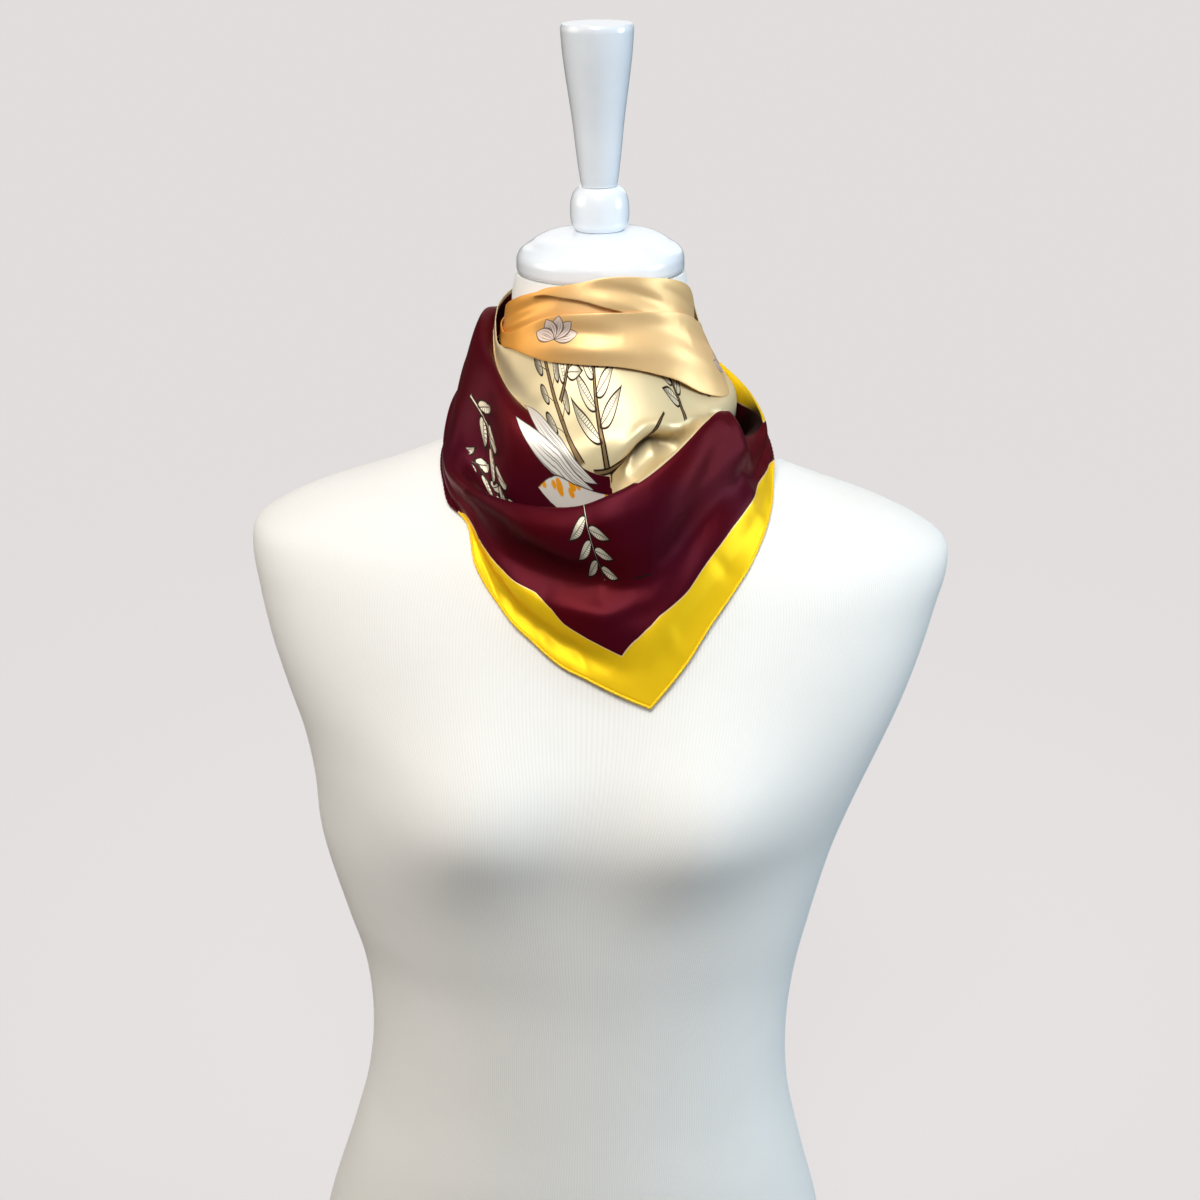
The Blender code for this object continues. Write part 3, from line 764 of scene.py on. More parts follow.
def even_heights(count):
    """Heights that space the rings evenly along the body's side outline."""
    fine = np.linspace(TORSO["height"][0], TORSO["height"][-1], 2000)
    run = runs_of(np.stack([read(TORSO, "half_width", fine), fine], -1))
    return np.interp(np.linspace(0, run[-1], count), run, fine)


TOP_OF_NECK, LEAN_STARTS = -2.0, -30.0
turns = np.linspace(0, 2 * math.pi, SIDES + 1)
body_rings = []
for height in even_heights(RINGS):
    x, y = torso_point(height, turns)
    ring = np.stack([x, y, np.full_like(x, height)], -1)
    share_of_lean = np.clip((height - LEAN_STARTS) / (TOP_OF_NECK - LEAN_STARTS), 0, 1)
    body_rings.append(leaned(ring, share_of_lean))
body_rings = np.array(body_rings)
body_flat = np.stack(np.meshgrid(np.linspace(0, 1, SIDES + 1), np.linspace(0, 1, RINGS)), -1)
body = lay_grid("form_body", body_rings, body_flat)
sew_up(body)
finish_piece(body, jersey)
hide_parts("torso")

# %% [markdown]
# ## Cap, ball and cone
# The neck ends in a cap turned on a lathe, with a ball and a slim cone above it. Each is a profile
# of radius and height carried round the axis, as the chisel leaves it, and then painted.

# %% Turned pieces
CAP = [(45.6, -2), (47.2, -0.6), (47.5, 3), (47.3, 6.5), (46, 9.5), (43.5, 11.8), (40, 14)]
CAP += [(36, 16.8), (31, 18.9), (24, 20.3), (16, 21)]
BALL = [(13.6, 21.3), (15.4, 23.5), (16.5, 28), (16.7, 32), (16.2, 38), (14.6, 42.5), (11.6, 45.6)]
CONE = [(9.8, 45.9), (10.3, 47.5), (11.2, 53), (12.6, 64), (14.3, 80), (16.3, 95), (18.1, 108)]
CONE += [(19.5, 120), (20.2, 130), (20.3, 133), (19.4, 134.7)]


def turned(name, profile, count=40, sides=96):
    run = runs_of(profile)
    curve = table("run radius height", np.column_stack([run, profile]))
    steps = np.linspace(0, run[-1], count)
    r, z = read(curve, "radius", steps), read(curve, "height", steps)
    turn = np.linspace(0, 2 * math.pi, sides + 1)
    r, z = r[:, None], z[:, None]
    grid = np.stack([r * np.cos(turn), r * np.sin(turn), z + 0 * turn], -1)
    flat = np.stack(np.meshgrid(turn / (2 * math.pi), steps / run[-1]), -1)
    piece = lay_grid(name, leaned(grid), flat)
    sew_up(piece)
    finish_piece(piece, paint)
    return piece


for name, profile in (("neck_cap", CAP), ("finial_ball", BALL), ("finial_cone", CONE)):
    piece = turned("turned_" + name, profile)
    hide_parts(name)

# %% [markdown]
# ## The board
# The plain board under the hips is right as it is in the frame, so it keeps its solid and only
# gets its paint.

# %% Base board
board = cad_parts["base_board"]
board.data.materials.clear()
board.data.materials.append(board_paint)

# %% [markdown]
# ## The square, worn
# The square is folded, so that one corner hangs on the chest, and its two long ends go round the
# neck to the nape. Between them the cloth stands away from the neck in a soft bowl with a rolled
# lip. Its section is given at thirty-six angles, by its top edge, the valley beside the neck, the
# ridge of the roll, the gutter behind the front fold, and the crest of that fold.

# %% The scarf's tables
FOLDS = table("angle top_r top_z valley_r valley_z ridge_r ridge_z gutter_r gutter_z crest_r crest_z", [
    (-180, 69, -29, 68, -33, 71, -37, 68, -42, 70, -47),
    (-160, 63, -24, 62, -30, 65.5, -35, 62, -42, 66, -49),
    (-140, 57, -19, 57, -27, 61, -33, 58.5, -43, 64, -51),
    (-111, 55.5, -20, 57, -27, 62, -31, 64, -48, 70, -62),
    (-97, 57, -24, 58.5, -30, 63, -28, 69, -49, 76, -70),
    (-86, 58, -28, 59.5, -35, 64.5, -31, 74, -52, 81, -77),
    (-75, 59.5, -33, 61, -43, 66, -38, 80, -66, 87, -88),
    (-68, 60.5, -40, 62, -51, 67.5, -42.5, 83.5, -74, 91.5, -95),
    (-59, 58.6, -40.5, 63.5, -58, 69, -48, 87, -88, 97, -102),
    (-52, 58, -39, 65, -62.5, 70.5, -53, 89.5, -99, 100.5, -105),
    (-45, 57.5, -35, 66.5, -65.5, 72.5, -58.5, 91, -110, 103, -107.5),
    (-34, 57.5, -34, 69.5, -68.5, 76, -67.5, 91.5, -123, 103, -111.5),
    (-24, 57.5, -34, 72, -69.5, 79.5, -75, 91, -130, 103.5, -113.5),
    (-14, 57.5, -37, 73, -69, 82, -81, 90.5, -131, 104, -113.5),
    (-4, 57.5, -38, 73, -66, 83, -81, 91, -126, 105, -111),
    (5, 57.5, -38.5, 74, -64.5, 83.5, -78.5, 89.5, -117, 105, -104.5),
    (14, 58, -41, 76, -63.5, 84.5, -74.5, 87, -107, 103.5, -97),
    (24, 59.5, -43, 77.5, -63, 85, -71.5, 86, -98, 100.5, -86),
    (32, 60, -45.5, 77.5, -63, 83.5, -70, 86.5, -89, 97, -77.5),
    (40, 61, -49, 76.5, -64, 82, -69, 86.5, -79.5, 93.5, -70.5),
    (50.5, 63.6, -53, 75.6, -64.5, 81, -67.5, 85.5, -77, 91, -67.5),
    (55, 64.5, -54, 75.2, -64.5, 80.7, -67.8, 82, -90, 92, -71),
    (57.5, 64.9, -54, 75, -64.4, 80.5, -68, 78.5, -98, 92.5, -80),
    (60.5, 65, -54, 74.8, -64.2, 80.2, -68.3, 77, -100, 92.5, -87),
    (68, 65.5, -53, 74.2, -63, 79.8, -68.8, 77.5, -100, 93, -88.5),
    (74, 66, -51.5, 73.5, -61, 79.3, -68, 79, -99, 95, -88),
    (80, 65.5, -48.5, 72, -57.5, 78.2, -64.5, 80.5, -97, 96.5, -84),
    (86, 61.5, -46, 68, -55, 74.5, -61.5, 80, -91, 92, -77),
    (91, 58.5, -39, 64.5, -49.5, 70, -57, 78.5, -84, 86.5, -70.5),
    (97, 57, -32, 61, -42, 65.5, -51, 76, -76, 80.5, -65),
    (104, 56.5, -27, 59, -36, 62.5, -45, 71, -66, 74.5, -60),
    (111, 56.5, -21, 58, -30, 63, -38, 65.5, -57, 69.5, -55.5),
    (125, 57, -20, 57.5, -28.5, 61.5, -36, 61, -49, 65.5, -52),
    (140, 57, -19, 57, -27, 61, -34, 58.5, -42, 63, -49),
    (160, 63, -24, 62, -30, 65.5, -36, 62, -42, 66, -48),
    (180, 69, -29, 68, -33, 71, -37, 68, -42, 70, -47),
])
LINES = ("top", "valley", "ridge", "gutter", "crest")
# The front fold's swell below its crest: the share of the way down, and millimetres outwards,
# reached in full where the fold hangs this far.
FRONT_FOLD = [(0.07, 3.2), (0.25, 3.0), (0.5, -3.2), (0.66, 0.8), (0.85, -0.6)]
FULL_DROP = 70.0
TIP_ANGLE = 17.0
HEM = table("angle radius height", [
    (-180, 68, -52), (-160, 65, -58), (-140, 65, -67), (-111, 74, -88), (-97, 80, -96),
    (-86, 85, -101), (-75, 90, -107), (-65, 94, -114), (-55, 97, -125), (-44, 97.8, -135),
    (-35, 104, -157), (-25, 108, -177), (-16, 108, -190), (-9, 108.5, -200), (0, 110, -208),
    (8, 113, -215), (17, 118, -222.5), (28, 118, -196), (34, 118, -179), (40, 118.5, -165),
    (47, 118.5, -150), (54, 116, -137), (62, 112, -125), (72, 106, -113), (77, 104, -105),
    (81, 101.8, -101), (85, 99.5, -97), (89, 96.5, -93), (93, 93.5, -89), (97, 90.5, -85.5),
    (104, 84.5, -80), (111, 78, -75), (120, 71.5, -69.5), (135, 66, -63.5), (150, 64, -59),
    (180, 68, -52),
])
TIP_ROW = int(np.searchsorted(HEM["angle"], TIP_ANGLE))
HEM_LEFT = {key: column[: TIP_ROW + 1] for key, column in HEM.items()}
HEM_RIGHT = {key: column[TIP_ROW:] for key, column in HEM.items()}


def hem_at(angle):
    side = HEM_LEFT if angle <= TIP_ANGLE else HEM_RIGHT
    return float(read(side, "radius", angle)), float(read(side, "height", angle))


def round_neck(angle, radius, height):
    """The point at this angle and radius from the neck's axis."""
    turn = np.radians(angle)
    return np.stack([radius * np.sin(turn), -radius * np.cos(turn), height + 0 * turn], -1)


def section(angle):
    """The cloth's section at this angle by its run, and the runs of its knots from top to hem."""
    across = [float(read(FOLDS, f"{line}_{axis}", angle)) for line in LINES for axis in "rz"]
    knots = np.reshape(across, (-1, 2)).tolist()
    (crest_r, crest_z), (hem_r, hem_z) = knots[-1], hem_at(angle)
    drop = crest_z - hem_z
    reach = min(1.0, drop / FULL_DROP)
    for share, bulge in FRONT_FOLD:
        radius = crest_r + (hem_r - crest_r) * share + bulge * reach
        knots.append((radius, crest_z - drop * share))
    knots.append((hem_r, hem_z))
    run = runs_of(knots)
    lines = table("run radius height", np.column_stack([run, knots]))
    return lines, np.array([*run[: len(LINES)], run[-1]])


print("scarf", len(FOLDS["angle"]), "sections")

# %% [markdown]
# ## The sheet
# One sheet carries the whole of the square that shows. Its columns run from the hem up over the
# front fold, down into the gutter and up the bowl to the neck. They are spaced partly by the angle
# and partly along the hem, so they stand closer where the hem runs steeply, and one of them ends
# exactly in the corner. Near the chest the cloth is kept clear of the body.

# %% Scarf grid
NAPE = 164.4
COLUMNS, BOWL_ROWS, DRAPE_ROWS = 330, 66, 58
SILK, SHEET_OFFSET, HEM_OFFSET = 0.5, 0.9, 0.65
CHEST_HEIGHT, CHEST_GAP = -85.0, 2.2
BY_ANGLE = 0.9


def spaced_angles(start, end, count):
    """Angles that space the columns by angle and along the hem, with one on the corner."""
    fine = np.linspace(start, end, 1200)
    hem = np.array([round_neck(a, *hem_at(a)) for a in fine])
    run = runs_of(hem)
    run = run + np.linspace(0, BY_ANGLE * run[-1], len(run))
    angles = np.interp(np.linspace(0, run[-1], count), run, fine)
    angles[np.argmin(np.abs(angles - TIP_ANGLE))] = TIP_ANGLE
    return angles


def column(angle):
    """Points from the hem up to the top edge, with the station and the run of each. Stations:
    0 top, 1 valley, 2 ridge, 3 gutter, 4 crest, 5 hem."""
    lines, runs = section(angle)
    bowl, drape = np.linspace(0, runs[4], BOWL_ROWS), np.linspace(runs[4], runs[5], DRAPE_ROWS)
    down = np.concatenate([bowl, drape[1:]])
    radius, height = read(lines, "radius", down), read(lines, "height", down)
    clear = torso_radius(angle, height) + CHEST_GAP
    radius = np.where(height < CHEST_HEIGHT, np.maximum(radius, clear), radius)
    points = round_neck(angle, radius, height)
    station = np.interp(down, runs, np.arange(6))
    return points[::-1], station[::-1], (runs[5] - down)[::-1]


scarf_angles = spaced_angles(-NAPE, NAPE, COLUMNS)
columns = [column(a) for a in scarf_angles]
scarf_points, scarf_station, scarf_climb = (np.stack(part, axis=1) for part in zip(*columns))
scarf_angle = np.broadcast_to(scarf_angles, scarf_station.shape)
print("scarf grid", scarf_points.shape)

# %% [markdown]
# ## Where each point lies in the square
# The print needs the place that every point had before the square was folded. Along the hem it is
# the distance from the corner, and away from the hem it is the climb up the cloth, turned by the
# slant at which the thread runs there. The folds hide where one side of the square passes into the
# other, so the sheet shows four stretches of the flat cloth: the front left and the front right of
# the corner, the bowl, and the narrow strip at the right shoulder. Each cell of the grid takes its
# place from one stretch alone.

# %% Place in the flat cloth
hem_run = runs_of(scarf_points[0])
corner = int(np.argmin(np.abs(scarf_angles - TIP_ANGLE)))
hem_run = np.abs(hem_run - hem_run[corner])[None, :]
# the share of the climb that runs along the hem
GRAIN = table("angle share", [
    (-180, 0.48), (-20, 0.48), (-4, 0.42), (9, 0.3), (13.8, 0.454), (17, 0.525), (30, 0.6),
    (45, 0.66), (72, 0.75), (180, 0.8),
])
# the climb at which the border ends, for the square's low side and for its other side
LOW_BORDER = table("angle climb", [
    (-180, -27), (-62, -22), (-56, -9), (-49.7, 0), (-41.4, 9.9), (-34.7, 16.1), (-27.2, 21.9),
    (-22.9, 24), (-16.5, 28.3), (-11, 28), (-7.3, 24.8), (-0.5, 23), (9.1, 22.5), (17, 28),
    (180, 28),
])
SIDE_BORDER = table("angle climb", [
    (-180, 45.7), (16.6, 45.7), (19.7, 44.9), (28.1, 37.1), (34.6, 33.7), (43.9, 29.7),
    (51.2, 24.4), (57.1, 20), (64.3, 13.8), (73.4, 6), (78, -2), (180, -20),
])
# the strip's width, and the stations where the frame gives way to the cream field
STRIP = table("angle width", [
    (-180, -20), (77, -3), (80, 0), (84, 4), (88, 7), (92, 9), (180, 9),
])
CHANGE = table("angle station", [
    (-180, 0.1), (-90, 0.4), (-80, 1.2), (-70, 1.36), (-60, 1.24), (-48.7, 0.94), (-42.2, 1.07),
    (-35.5, 1.35), (-31.4, 1.42), (-26.4, 1.61), (-22, 1.81), (-17.4, 1.96), (-12.9, 2.04),
    (-7.3, 2.18), (-1.5, 2.29), (5.3, 2.42), (10, 3.3), (13, 4), (55, 4), (58, 3.4), (61, 2.5),
    (180, 2.4),
])
STRIP_START, CHANGE_MARGIN = 78.0, 1.5
MIDDLE, BOWL_RADIUS, BOWL_END = SIDE / 2, 80.0, 154.0
GUTTER, CREST = 3.0, 4.0
seen_change = [row for row in zip(*CHANGE.values()) if row[0] < 10]
MEASURE = table("angle station", seen_change + [(13, 2.5), (24, 2.5), (40, 2.45), (180, 2.4)])


def along_neck(rows, column):
    return np.interp(scarf_angle, rows["angle"], rows[column])


slope = along_neck(GRAIN, "share")
upright = np.sqrt(1 - slope**2)


def climb_at(stations):
    """The climb from the hem to this station, column by column."""
    pairs = zip(-stations, -scarf_station.T, scarf_climb.T)
    return np.array([np.interp(at, known, climb) for at, known, climb in pairs])[None, :]


from_change = scarf_climb - climb_at(along_neck(CHANGE, "station")[0])
measured = scarf_climb - climb_at(along_neck(MEASURE, "station")[0])
from_crest = np.abs(scarf_climb - climb_at(np.full(COLUMNS, CREST)))
above_low, above_side = (
    scarf_climb - along_neck(rows, "climb") for rows in (LOW_BORDER, SIDE_BORDER)
)
round_bowl = np.clip(scarf_angle, -BOWL_END, BOWL_END) * math.radians(BOWL_RADIUS)
in_bowl_field = FRAME_WIDTH + np.maximum(measured, np.minimum(from_change, CHANGE_MARGIN))
stretches = [
    (hem_run + slope * scarf_climb, BORDER + upright * above_low),
    (BORDER + slope * above_side, hem_run + upright * scarf_climb),
    (MIDDLE + round_bowl, in_bowl_field),
    (MIDDLE + scarf_angle, BORDER + from_crest - along_neck(STRIP, "width")),
]
scarf_flat = np.array([np.stack(np.broadcast_arrays(x, y), -1) for x, y in stretches])
is_right = np.arange(COLUMNS)[None, :] >= corner
scarf_stretch = np.where(scarf_angle > STRIP_START, 3, np.where(is_right, 1, 0))
in_bowl = (scarf_station < GUTTER) | (from_change > -2 * CHANGE_MARGIN)
scarf_stretch = np.where(in_bowl, 2, scarf_stretch)
print("stretches of flat cloth", np.bincount(scarf_stretch.ravel()))

# %% [markdown]
# ## Creases
# Silk bends in a few large soft folds and many small ones. The large ones are in the sections. The
# small ones are lines on the sheet, each with a height, a width and a path, and the cloth is pushed
# out or in beside them with a bell-shaped slope. A fold fades at both its ends, and it moves only
# the layer that it lies on.

# %% Creases
# how many stations away a fold stops, and over how many it fades
LAYER_ENDS, LAYER_SOFT = 0.8, 0.5
# height and half width in mm, then the crease's line by angle and station
CREASES = [
    (-4.5, 9,
     [(-44, 4.12), (-38, 4.21), (-29, 4.23), (-22, 4.32), (-13, 4.37), (-4, 4.4), (8, 4.49)]),
    (2.0, 6, [(-14, 4.64), (-10, 4.6), (-3, 4.61), (4, 4.61), (13, 4.54), (20, 4.53), (26, 4.5)]),
    (-3.2, 8, [(0, 4.12), (2, 4.25), (4, 4.42), (4, 4.52)]),
    (-1.8, 9, [(48, 4.08), (40, 4.2), (30, 4.35), (20, 4.45)]),
    (1.5, 8, [(62, 4.15), (54, 4.32), (44, 4.52), (36, 4.6)]),
    (-3.2, 6,
     [(-40, 4.76), (-33, 4.86), (-26, 4.87), (-18, 4.87), (-8, 4.86), (0, 4.87), (9, 4.88)]),
    (-0.8, 3, [(-29, 4.7), (-25, 4.86), (-23, 4.99)]),
    (0.8, 3, [(-18, 4.72), (-15, 4.88), (-12, 4.99)]),
    (-0.9, 3, [(-6, 4.76), (-3, 4.88), (0, 4.99)]),
    (0.8, 4, [(21, 4.7), (24, 4.86), (28, 4.99)]),
    (-0.8, 4, [(36, 4.66), (40, 4.84), (43, 4.99)]),
    (0.7, 4, [(50, 4.6), (55, 4.82), (58, 4.99)]),
    (3.0, 3.6,
     [(9, 2.4), (11, 2.3), (15.6, 2.07), (19, 1.94), (24.4, 1.98), (30, 2.12), (37, 2.26)]),
    (-11, 5.5, [(10, 2.56), (14, 2.4), (18, 2.28), (22, 2.24), (27, 2.38), (33, 2.5)]),
    (1.2, 9, [(-8, 1.1), (-2, 1.6), (6, 2.1)]),
    (-1.2, 9, [(-26, 0.8), (-16, 1.3), (-8, 1.9)]),
    (-1.0, 8, [(36, 0.9), (44, 1.5), (50, 2.2)]),
    (-1.5, 5, [(100, 4.3), (125, 4.4), (152, 4.5)]),
    (1.2, 4, [(104, 4.72), (130, 4.7), (156, 4.62)]),
    (-1.5, 5, [(-98, 4.25), (-125, 4.4), (-152, 4.4)]),
    (1.2, 4, [(-94, 4.65), (-120, 4.7), (-152, 4.7)]),
    (-1.3, 6, [(-62, 4.3), (-72, 4.5), (-86, 4.6)]),
]


def fade_out(share):
    """A fold's height along its line: full in the middle, and soft at both its ends."""
    return np.sin(math.pi * np.clip(share, 0.02, 0.98)) ** 0.6


def on_section(angle, station):
    lines, runs = section(angle)
    down = np.interp(station, np.arange(6), runs)
    return round_neck(angle, read(lines, "radius", down), read(lines, "height", down))


def crease(points, height, width, path, count=50):
    """How far each point of the cloth stands out for one soft fold along this path."""
    marks = np.array(path, float)
    steps = np.linspace(0, len(marks) - 1, count)
    angles, stations = (np.interp(steps, np.arange(len(marks)), marks[:, i]) for i in (0, 1))
    line = np.array([on_section(a, s) for a, s in zip(angles, stations)])
    away = np.full(points.shape[:2], np.inf)
    nearest = np.zeros(points.shape[:2], int)
    for i, place in enumerate(line):
        distance = np.linalg.norm(points - place, axis=-1)
        nearest = np.where(distance < away, i, nearest)
        away = np.minimum(away, distance)
    other_layer = np.abs(scarf_station - stations[nearest])
    same_layer = np.clip((LAYER_ENDS - other_layer) / LAYER_SOFT, 0, 1)
    return height * np.exp(-((away / width) ** 2)) * same_layer * fade_out(nearest / (count - 1))


print("crease lines", len(CREASES))

# %% [markdown]
# All creases are added up first and then pushed along the normals of the smooth sheet, so that
# two that cross make one soft saddle.

# %% Pushing the folds in
smooth_points, normals = scarf_points, outwards(scarf_points)
stand_out = sum(crease(scarf_points, *row) for row in CREASES)
scarf_points = scarf_points + stand_out[..., None] * normals
print("creases", len(CREASES), "from", round(stand_out.min(), 1), "to", round(stand_out.max(), 1))

# %% [markdown]
# ## Shade between the layers
# Where the cloth folds back on itself, in the pocket at the right and in the deepest troughs, the
# real silk looks almost black, because each layer keeps the light from the next. The same kind of
# line that makes a crease says here how dark the cloth is.

# %% Shade between the layers
# depth of the shade and half width in mm, then its line by angle and station
SHADES = [
    (0.8, 4.2, [(9, 2.6), (13, 2.45), (17, 2.32), (21, 2.24), (26, 2.36), (32, 2.44), (37, 2.5)]),
    (0.5, 10,
     [(-46, 4.1), (-38, 4.21), (-29, 4.25), (-22, 4.34), (-13, 4.39), (-4, 4.42), (8, 4.5)]),
    (0.35, 6,
     [(-44, 4.7), (-33, 4.85), (-26, 4.86), (-18, 4.87), (-8, 4.86), (0, 4.86), (9, 4.86)]),
    (0.3, 7, [(-40, 2.9), (-25, 2.9), (-10, 2.9)]),
]
# the pocket's four sides: where its shade starts and where it is full
POCKET = [
    (scarf_angle, 55, 59), (scarf_angle, 95, 84), (scarf_station, 2.2, 2.5), (scarf_station, 4.0, 3.95),
]
DEEPEST = 0.98


def ramp(values, start, end):
    return np.clip((values - start) / (end - start), 0, 1)


in_pocket = 1.0
for values, *ends in POCKET:
    in_pocket = in_pocket * ramp(values, *ends)
shade_lines = sum(crease(smooth_points, *row) for row in SHADES)
in_shade = np.clip(shade_lines + in_pocket, 0, DEEPEST)
print("deepest shade", round(in_shade.max(), 2))

# %% [markdown]
# ## The scarf's cloth
# The sheet gets the thickness of silk, and stands for the four solids that it covers.

# %% Scarf
normals = outwards(scarf_points)
sheet_points = scarf_points + SHEET_OFFSET * normals
scarf = lay_grid("scarf", sheet_points, scarf_flat / SIDE, scarf_stretch)
shade_of_points = scarf.data.attributes.new("in_shade", "FLOAT", "POINT")
shade_of_points.data.foreach_set("value", in_shade.astype(np.float32).ravel())
applied(scarf, "SOLIDIFY", thickness=SILK * MM, offset=-1)
finish_piece(scarf, silk, 180)
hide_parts("cowl_inner", "front_drape", "left_wrap", "right_wrap")

# %% [markdown]
# ## The rolled hem
# A good square has no machine edge: its border is rolled between the fingers and sewn down by
# hand. The roll is a thin tube along the edge. Each stitch pinches it a little, and it is never
# quite even.

# %% Rolled hem
STITCH_SPACING, HEM_ROLL, HEM_SIDES = 3.2, 0.85, 9
PINCH, UNEVEN, UNEVEN_RUN = 0.13, 0.1, 17
hem_line = (scarf_points + HEM_OFFSET * normals)[0]
hem_stretch = np.where(scarf_angles > STRIP_START, 3, np.where(is_right[0], 1, 0))
hem_places = scarf_flat[hem_stretch, 0, np.arange(COLUMNS)]
hem_runs = runs_of(hem_line)


def along_hem(values, at):
    return np.stack([np.interp(at, hem_runs, values[:, i]) for i in range(values.shape[1])], -1)


steps = np.arange(0, hem_runs[-1], STITCH_SPACING / 5)
centre = along_hem(hem_line, steps)
forwards = unit(np.gradient(centre, axis=0))
out_from = unit(along_hem(normals[0], steps))
sideways = np.cross(forwards, out_from)
turn = np.linspace(0, 2 * math.pi, HEM_SIDES + 1)
pinch = 1 - PINCH * np.cos(2 * math.pi * steps / STITCH_SPACING)
swell = HEM_ROLL * (pinch + UNEVEN * np.sin(steps / UNEVEN_RUN))
ring = np.cos(turn)[:, None, None] * out_from + np.sin(turn)[:, None, None] * sideways
hem_tube = centre + swell[:, None] * ring
hem_flat = np.broadcast_to(along_hem(hem_places, steps), hem_tube.shape[:2] + (2,))
rolled_hem = lay_grid("rolled_hem", hem_tube, hem_flat / SIDE)
sew_up(rolled_hem)
finish_piece(rolled_hem, silk, 180)

# %% [markdown]
# ## The stitches
# One slanting stitch is modelled from a small sphere, and a copy is set down at every pinch along
# the part of the border that is seen. Then all of them are joined into one piece. The sphere's
# faces come in another order on each run, so they are first sorted by their distance from the
# cursor, which stands where no two of them are equally near. New pieces start at the cursor, so it
# goes back to the middle.

# %% Hem stitches
STITCH_SIZE = (0.95 * MM, 0.26 * MM, 0.24 * MM)
BORDER_SEEN, SLANT = (-48, 77), 0.5
BESIDE_STITCH = (0.3, 0.7, 1.9)
deselect()
bpy.ops.mesh.primitive_uv_sphere_add(segments=6, ring_count=4, radius=1, location=(0, 0, 0))
stitch = named("hem_stitches")
bpy.ops.object.mode_set(mode="EDIT")
scene.cursor.location = BESIDE_STITCH
bpy.ops.mesh.sort_elements(type="CURSOR_DISTANCE", elements={"FACE"})
scene.cursor.location = (0, 0, 0)
bpy.ops.transform.resize(value=STITCH_SIZE)
bpy.ops.object.mode_set(mode="OBJECT")
first, last = np.interp(BORDER_SEEN, scarf_angles, hem_runs)
marks = np.arange(np.ceil(first / STITCH_SPACING), last / STITCH_SPACING) * STITCH_SPACING
lift = unit(along_hem(normals[0], marks)) * (HEM_ROLL * 0.9)
spots = placed(along_hem(hem_line, marks) + lift)
copies = []
for i, spot in enumerate(spots):
    k = np.searchsorted(steps, marks[i] - 0.01)
    slant = unit(forwards[k] + SLANT * sideways[k])
    frame_of = np.stack([slant, np.cross(out_from[k], slant), out_from[k]], -1)
    copy = bpy.data.objects.new(f"stitch_{i}", stitch.data.copy())
    copy.data.transform(Matrix.Translation(spot) @ Matrix(frame_of.tolist()).to_4x4())
    bpy.context.scene.collection.objects.link(copy)
    copies.append(copy)
deselect()
bpy.data.objects.remove(stitch)
for copy in copies:
    copy.select_set(True)
bpy.context.view_layer.objects.active = copies[0]
bpy.ops.object.join()
stitches = named("hem_stitches")
finish_piece(stitches, thread, 60)

# %% [markdown]
# ## The pleats at the neck
# Above the bowl the middle of the square lies round the neck in three pleats, each a flattened
# tube of cloth: two layers that meet in soft rounded edges. A pleat is given by its upper and its
# lower edge at some angles, and the tube is swept between them.

# %% Bands
BAND_COLUMN_NAMES = "angle top_r top_z low_r low_z"
BAND_TOP = table(BAND_COLUMN_NAMES, [
    (-38, 59, -6.6, 59.4, -8.4), (-32, 58.8, -3.2, 59.6, -6.6), (-20, 58.6, 0, 60, -6.5),
    (-8, 58.4, 3, 60.3, -7.5), (0, 58.4, 5.2, 60.5, -9.5), (13, 58.2, 6.2, 60.4, -13),
    (28, 58, 5, 60, -19), (49, 56.5, 1.2, 59, -26), (69, 54.8, -7, 56.5, -30),
    (80, 54.2, -15, 55, -32), (95, 53.2, -22, 53.6, -36), (112, 52.6, -27, 52.8, -38),
])
BAND_MIDDLE = table(BAND_COLUMN_NAMES, [
    (-95, 52.6, -27, 53, -39), (-84, 53.6, -23, 54.6, -40), (-74, 55, -20, 55.8, -39),
    (-60, 57, -14.5, 58.4, -36), (-48, 57.4, -9.5, 59, -31), (-32, 56.4, -4.5, 58.6, -24),
    (-15, 55.6, -3, 57.8, -20), (0, 55.5, -5, 57.6, -19), (20, 55.5, -9, 57, -20),
    (45, 54, -16, 55.5, -24),
])
BAND_LOWER = table(BAND_COLUMN_NAMES, [
    (-95, 54.6, -31, 55.2, -43), (-84, 56.4, -32, 57, -43), (-74, 57.8, -32.5, 58.2, -42),
    (-60, 60.6, -32.5, 61.4, -41), (-54, 61, -31, 62, -40), (-42, 61.3, -25, 63, -40.4),
    (-28, 61.5, -18, 63.5, -42), (-9, 62, -14, 63.5, -42), (16, 62.5, -12.8, 65.5, -43.3),
    (28, 63, -13, 68, -46.5), (38, 63, -14, 70.6, -50.5), (53, 62, -18, 75.7, -60.5),
    (60, 61.2, -21, 77.8, -63.5), (66, 60.4, -24, 78.9, -65.4), (71, 59.8, -26, 79.2, -66),
    (76, 59, -28, 78.2, -65.4), (82, 58, -30, 75, -62.5), (88, 56.8, -32, 69.5, -57),
    (97, 55.3, -33, 61.5, -48), (112, 54.6, -33, 55.4, -44),
])
BAND_CLOTH, NECK_RADIUS, ROUND_NECK, LAYER_SHIFT = 1.4, 62.0, 60.0, 60.0
print("pleats' edges", sum(len(edges["angle"]) for edges in (BAND_TOP, BAND_MIDDLE, BAND_LOWER)))

# %% [markdown]
# Across a pleat its section is a long loop: out along the face, round the edge and back. Soft
# folds run along it, drawn by the pull of the knot behind the neck.

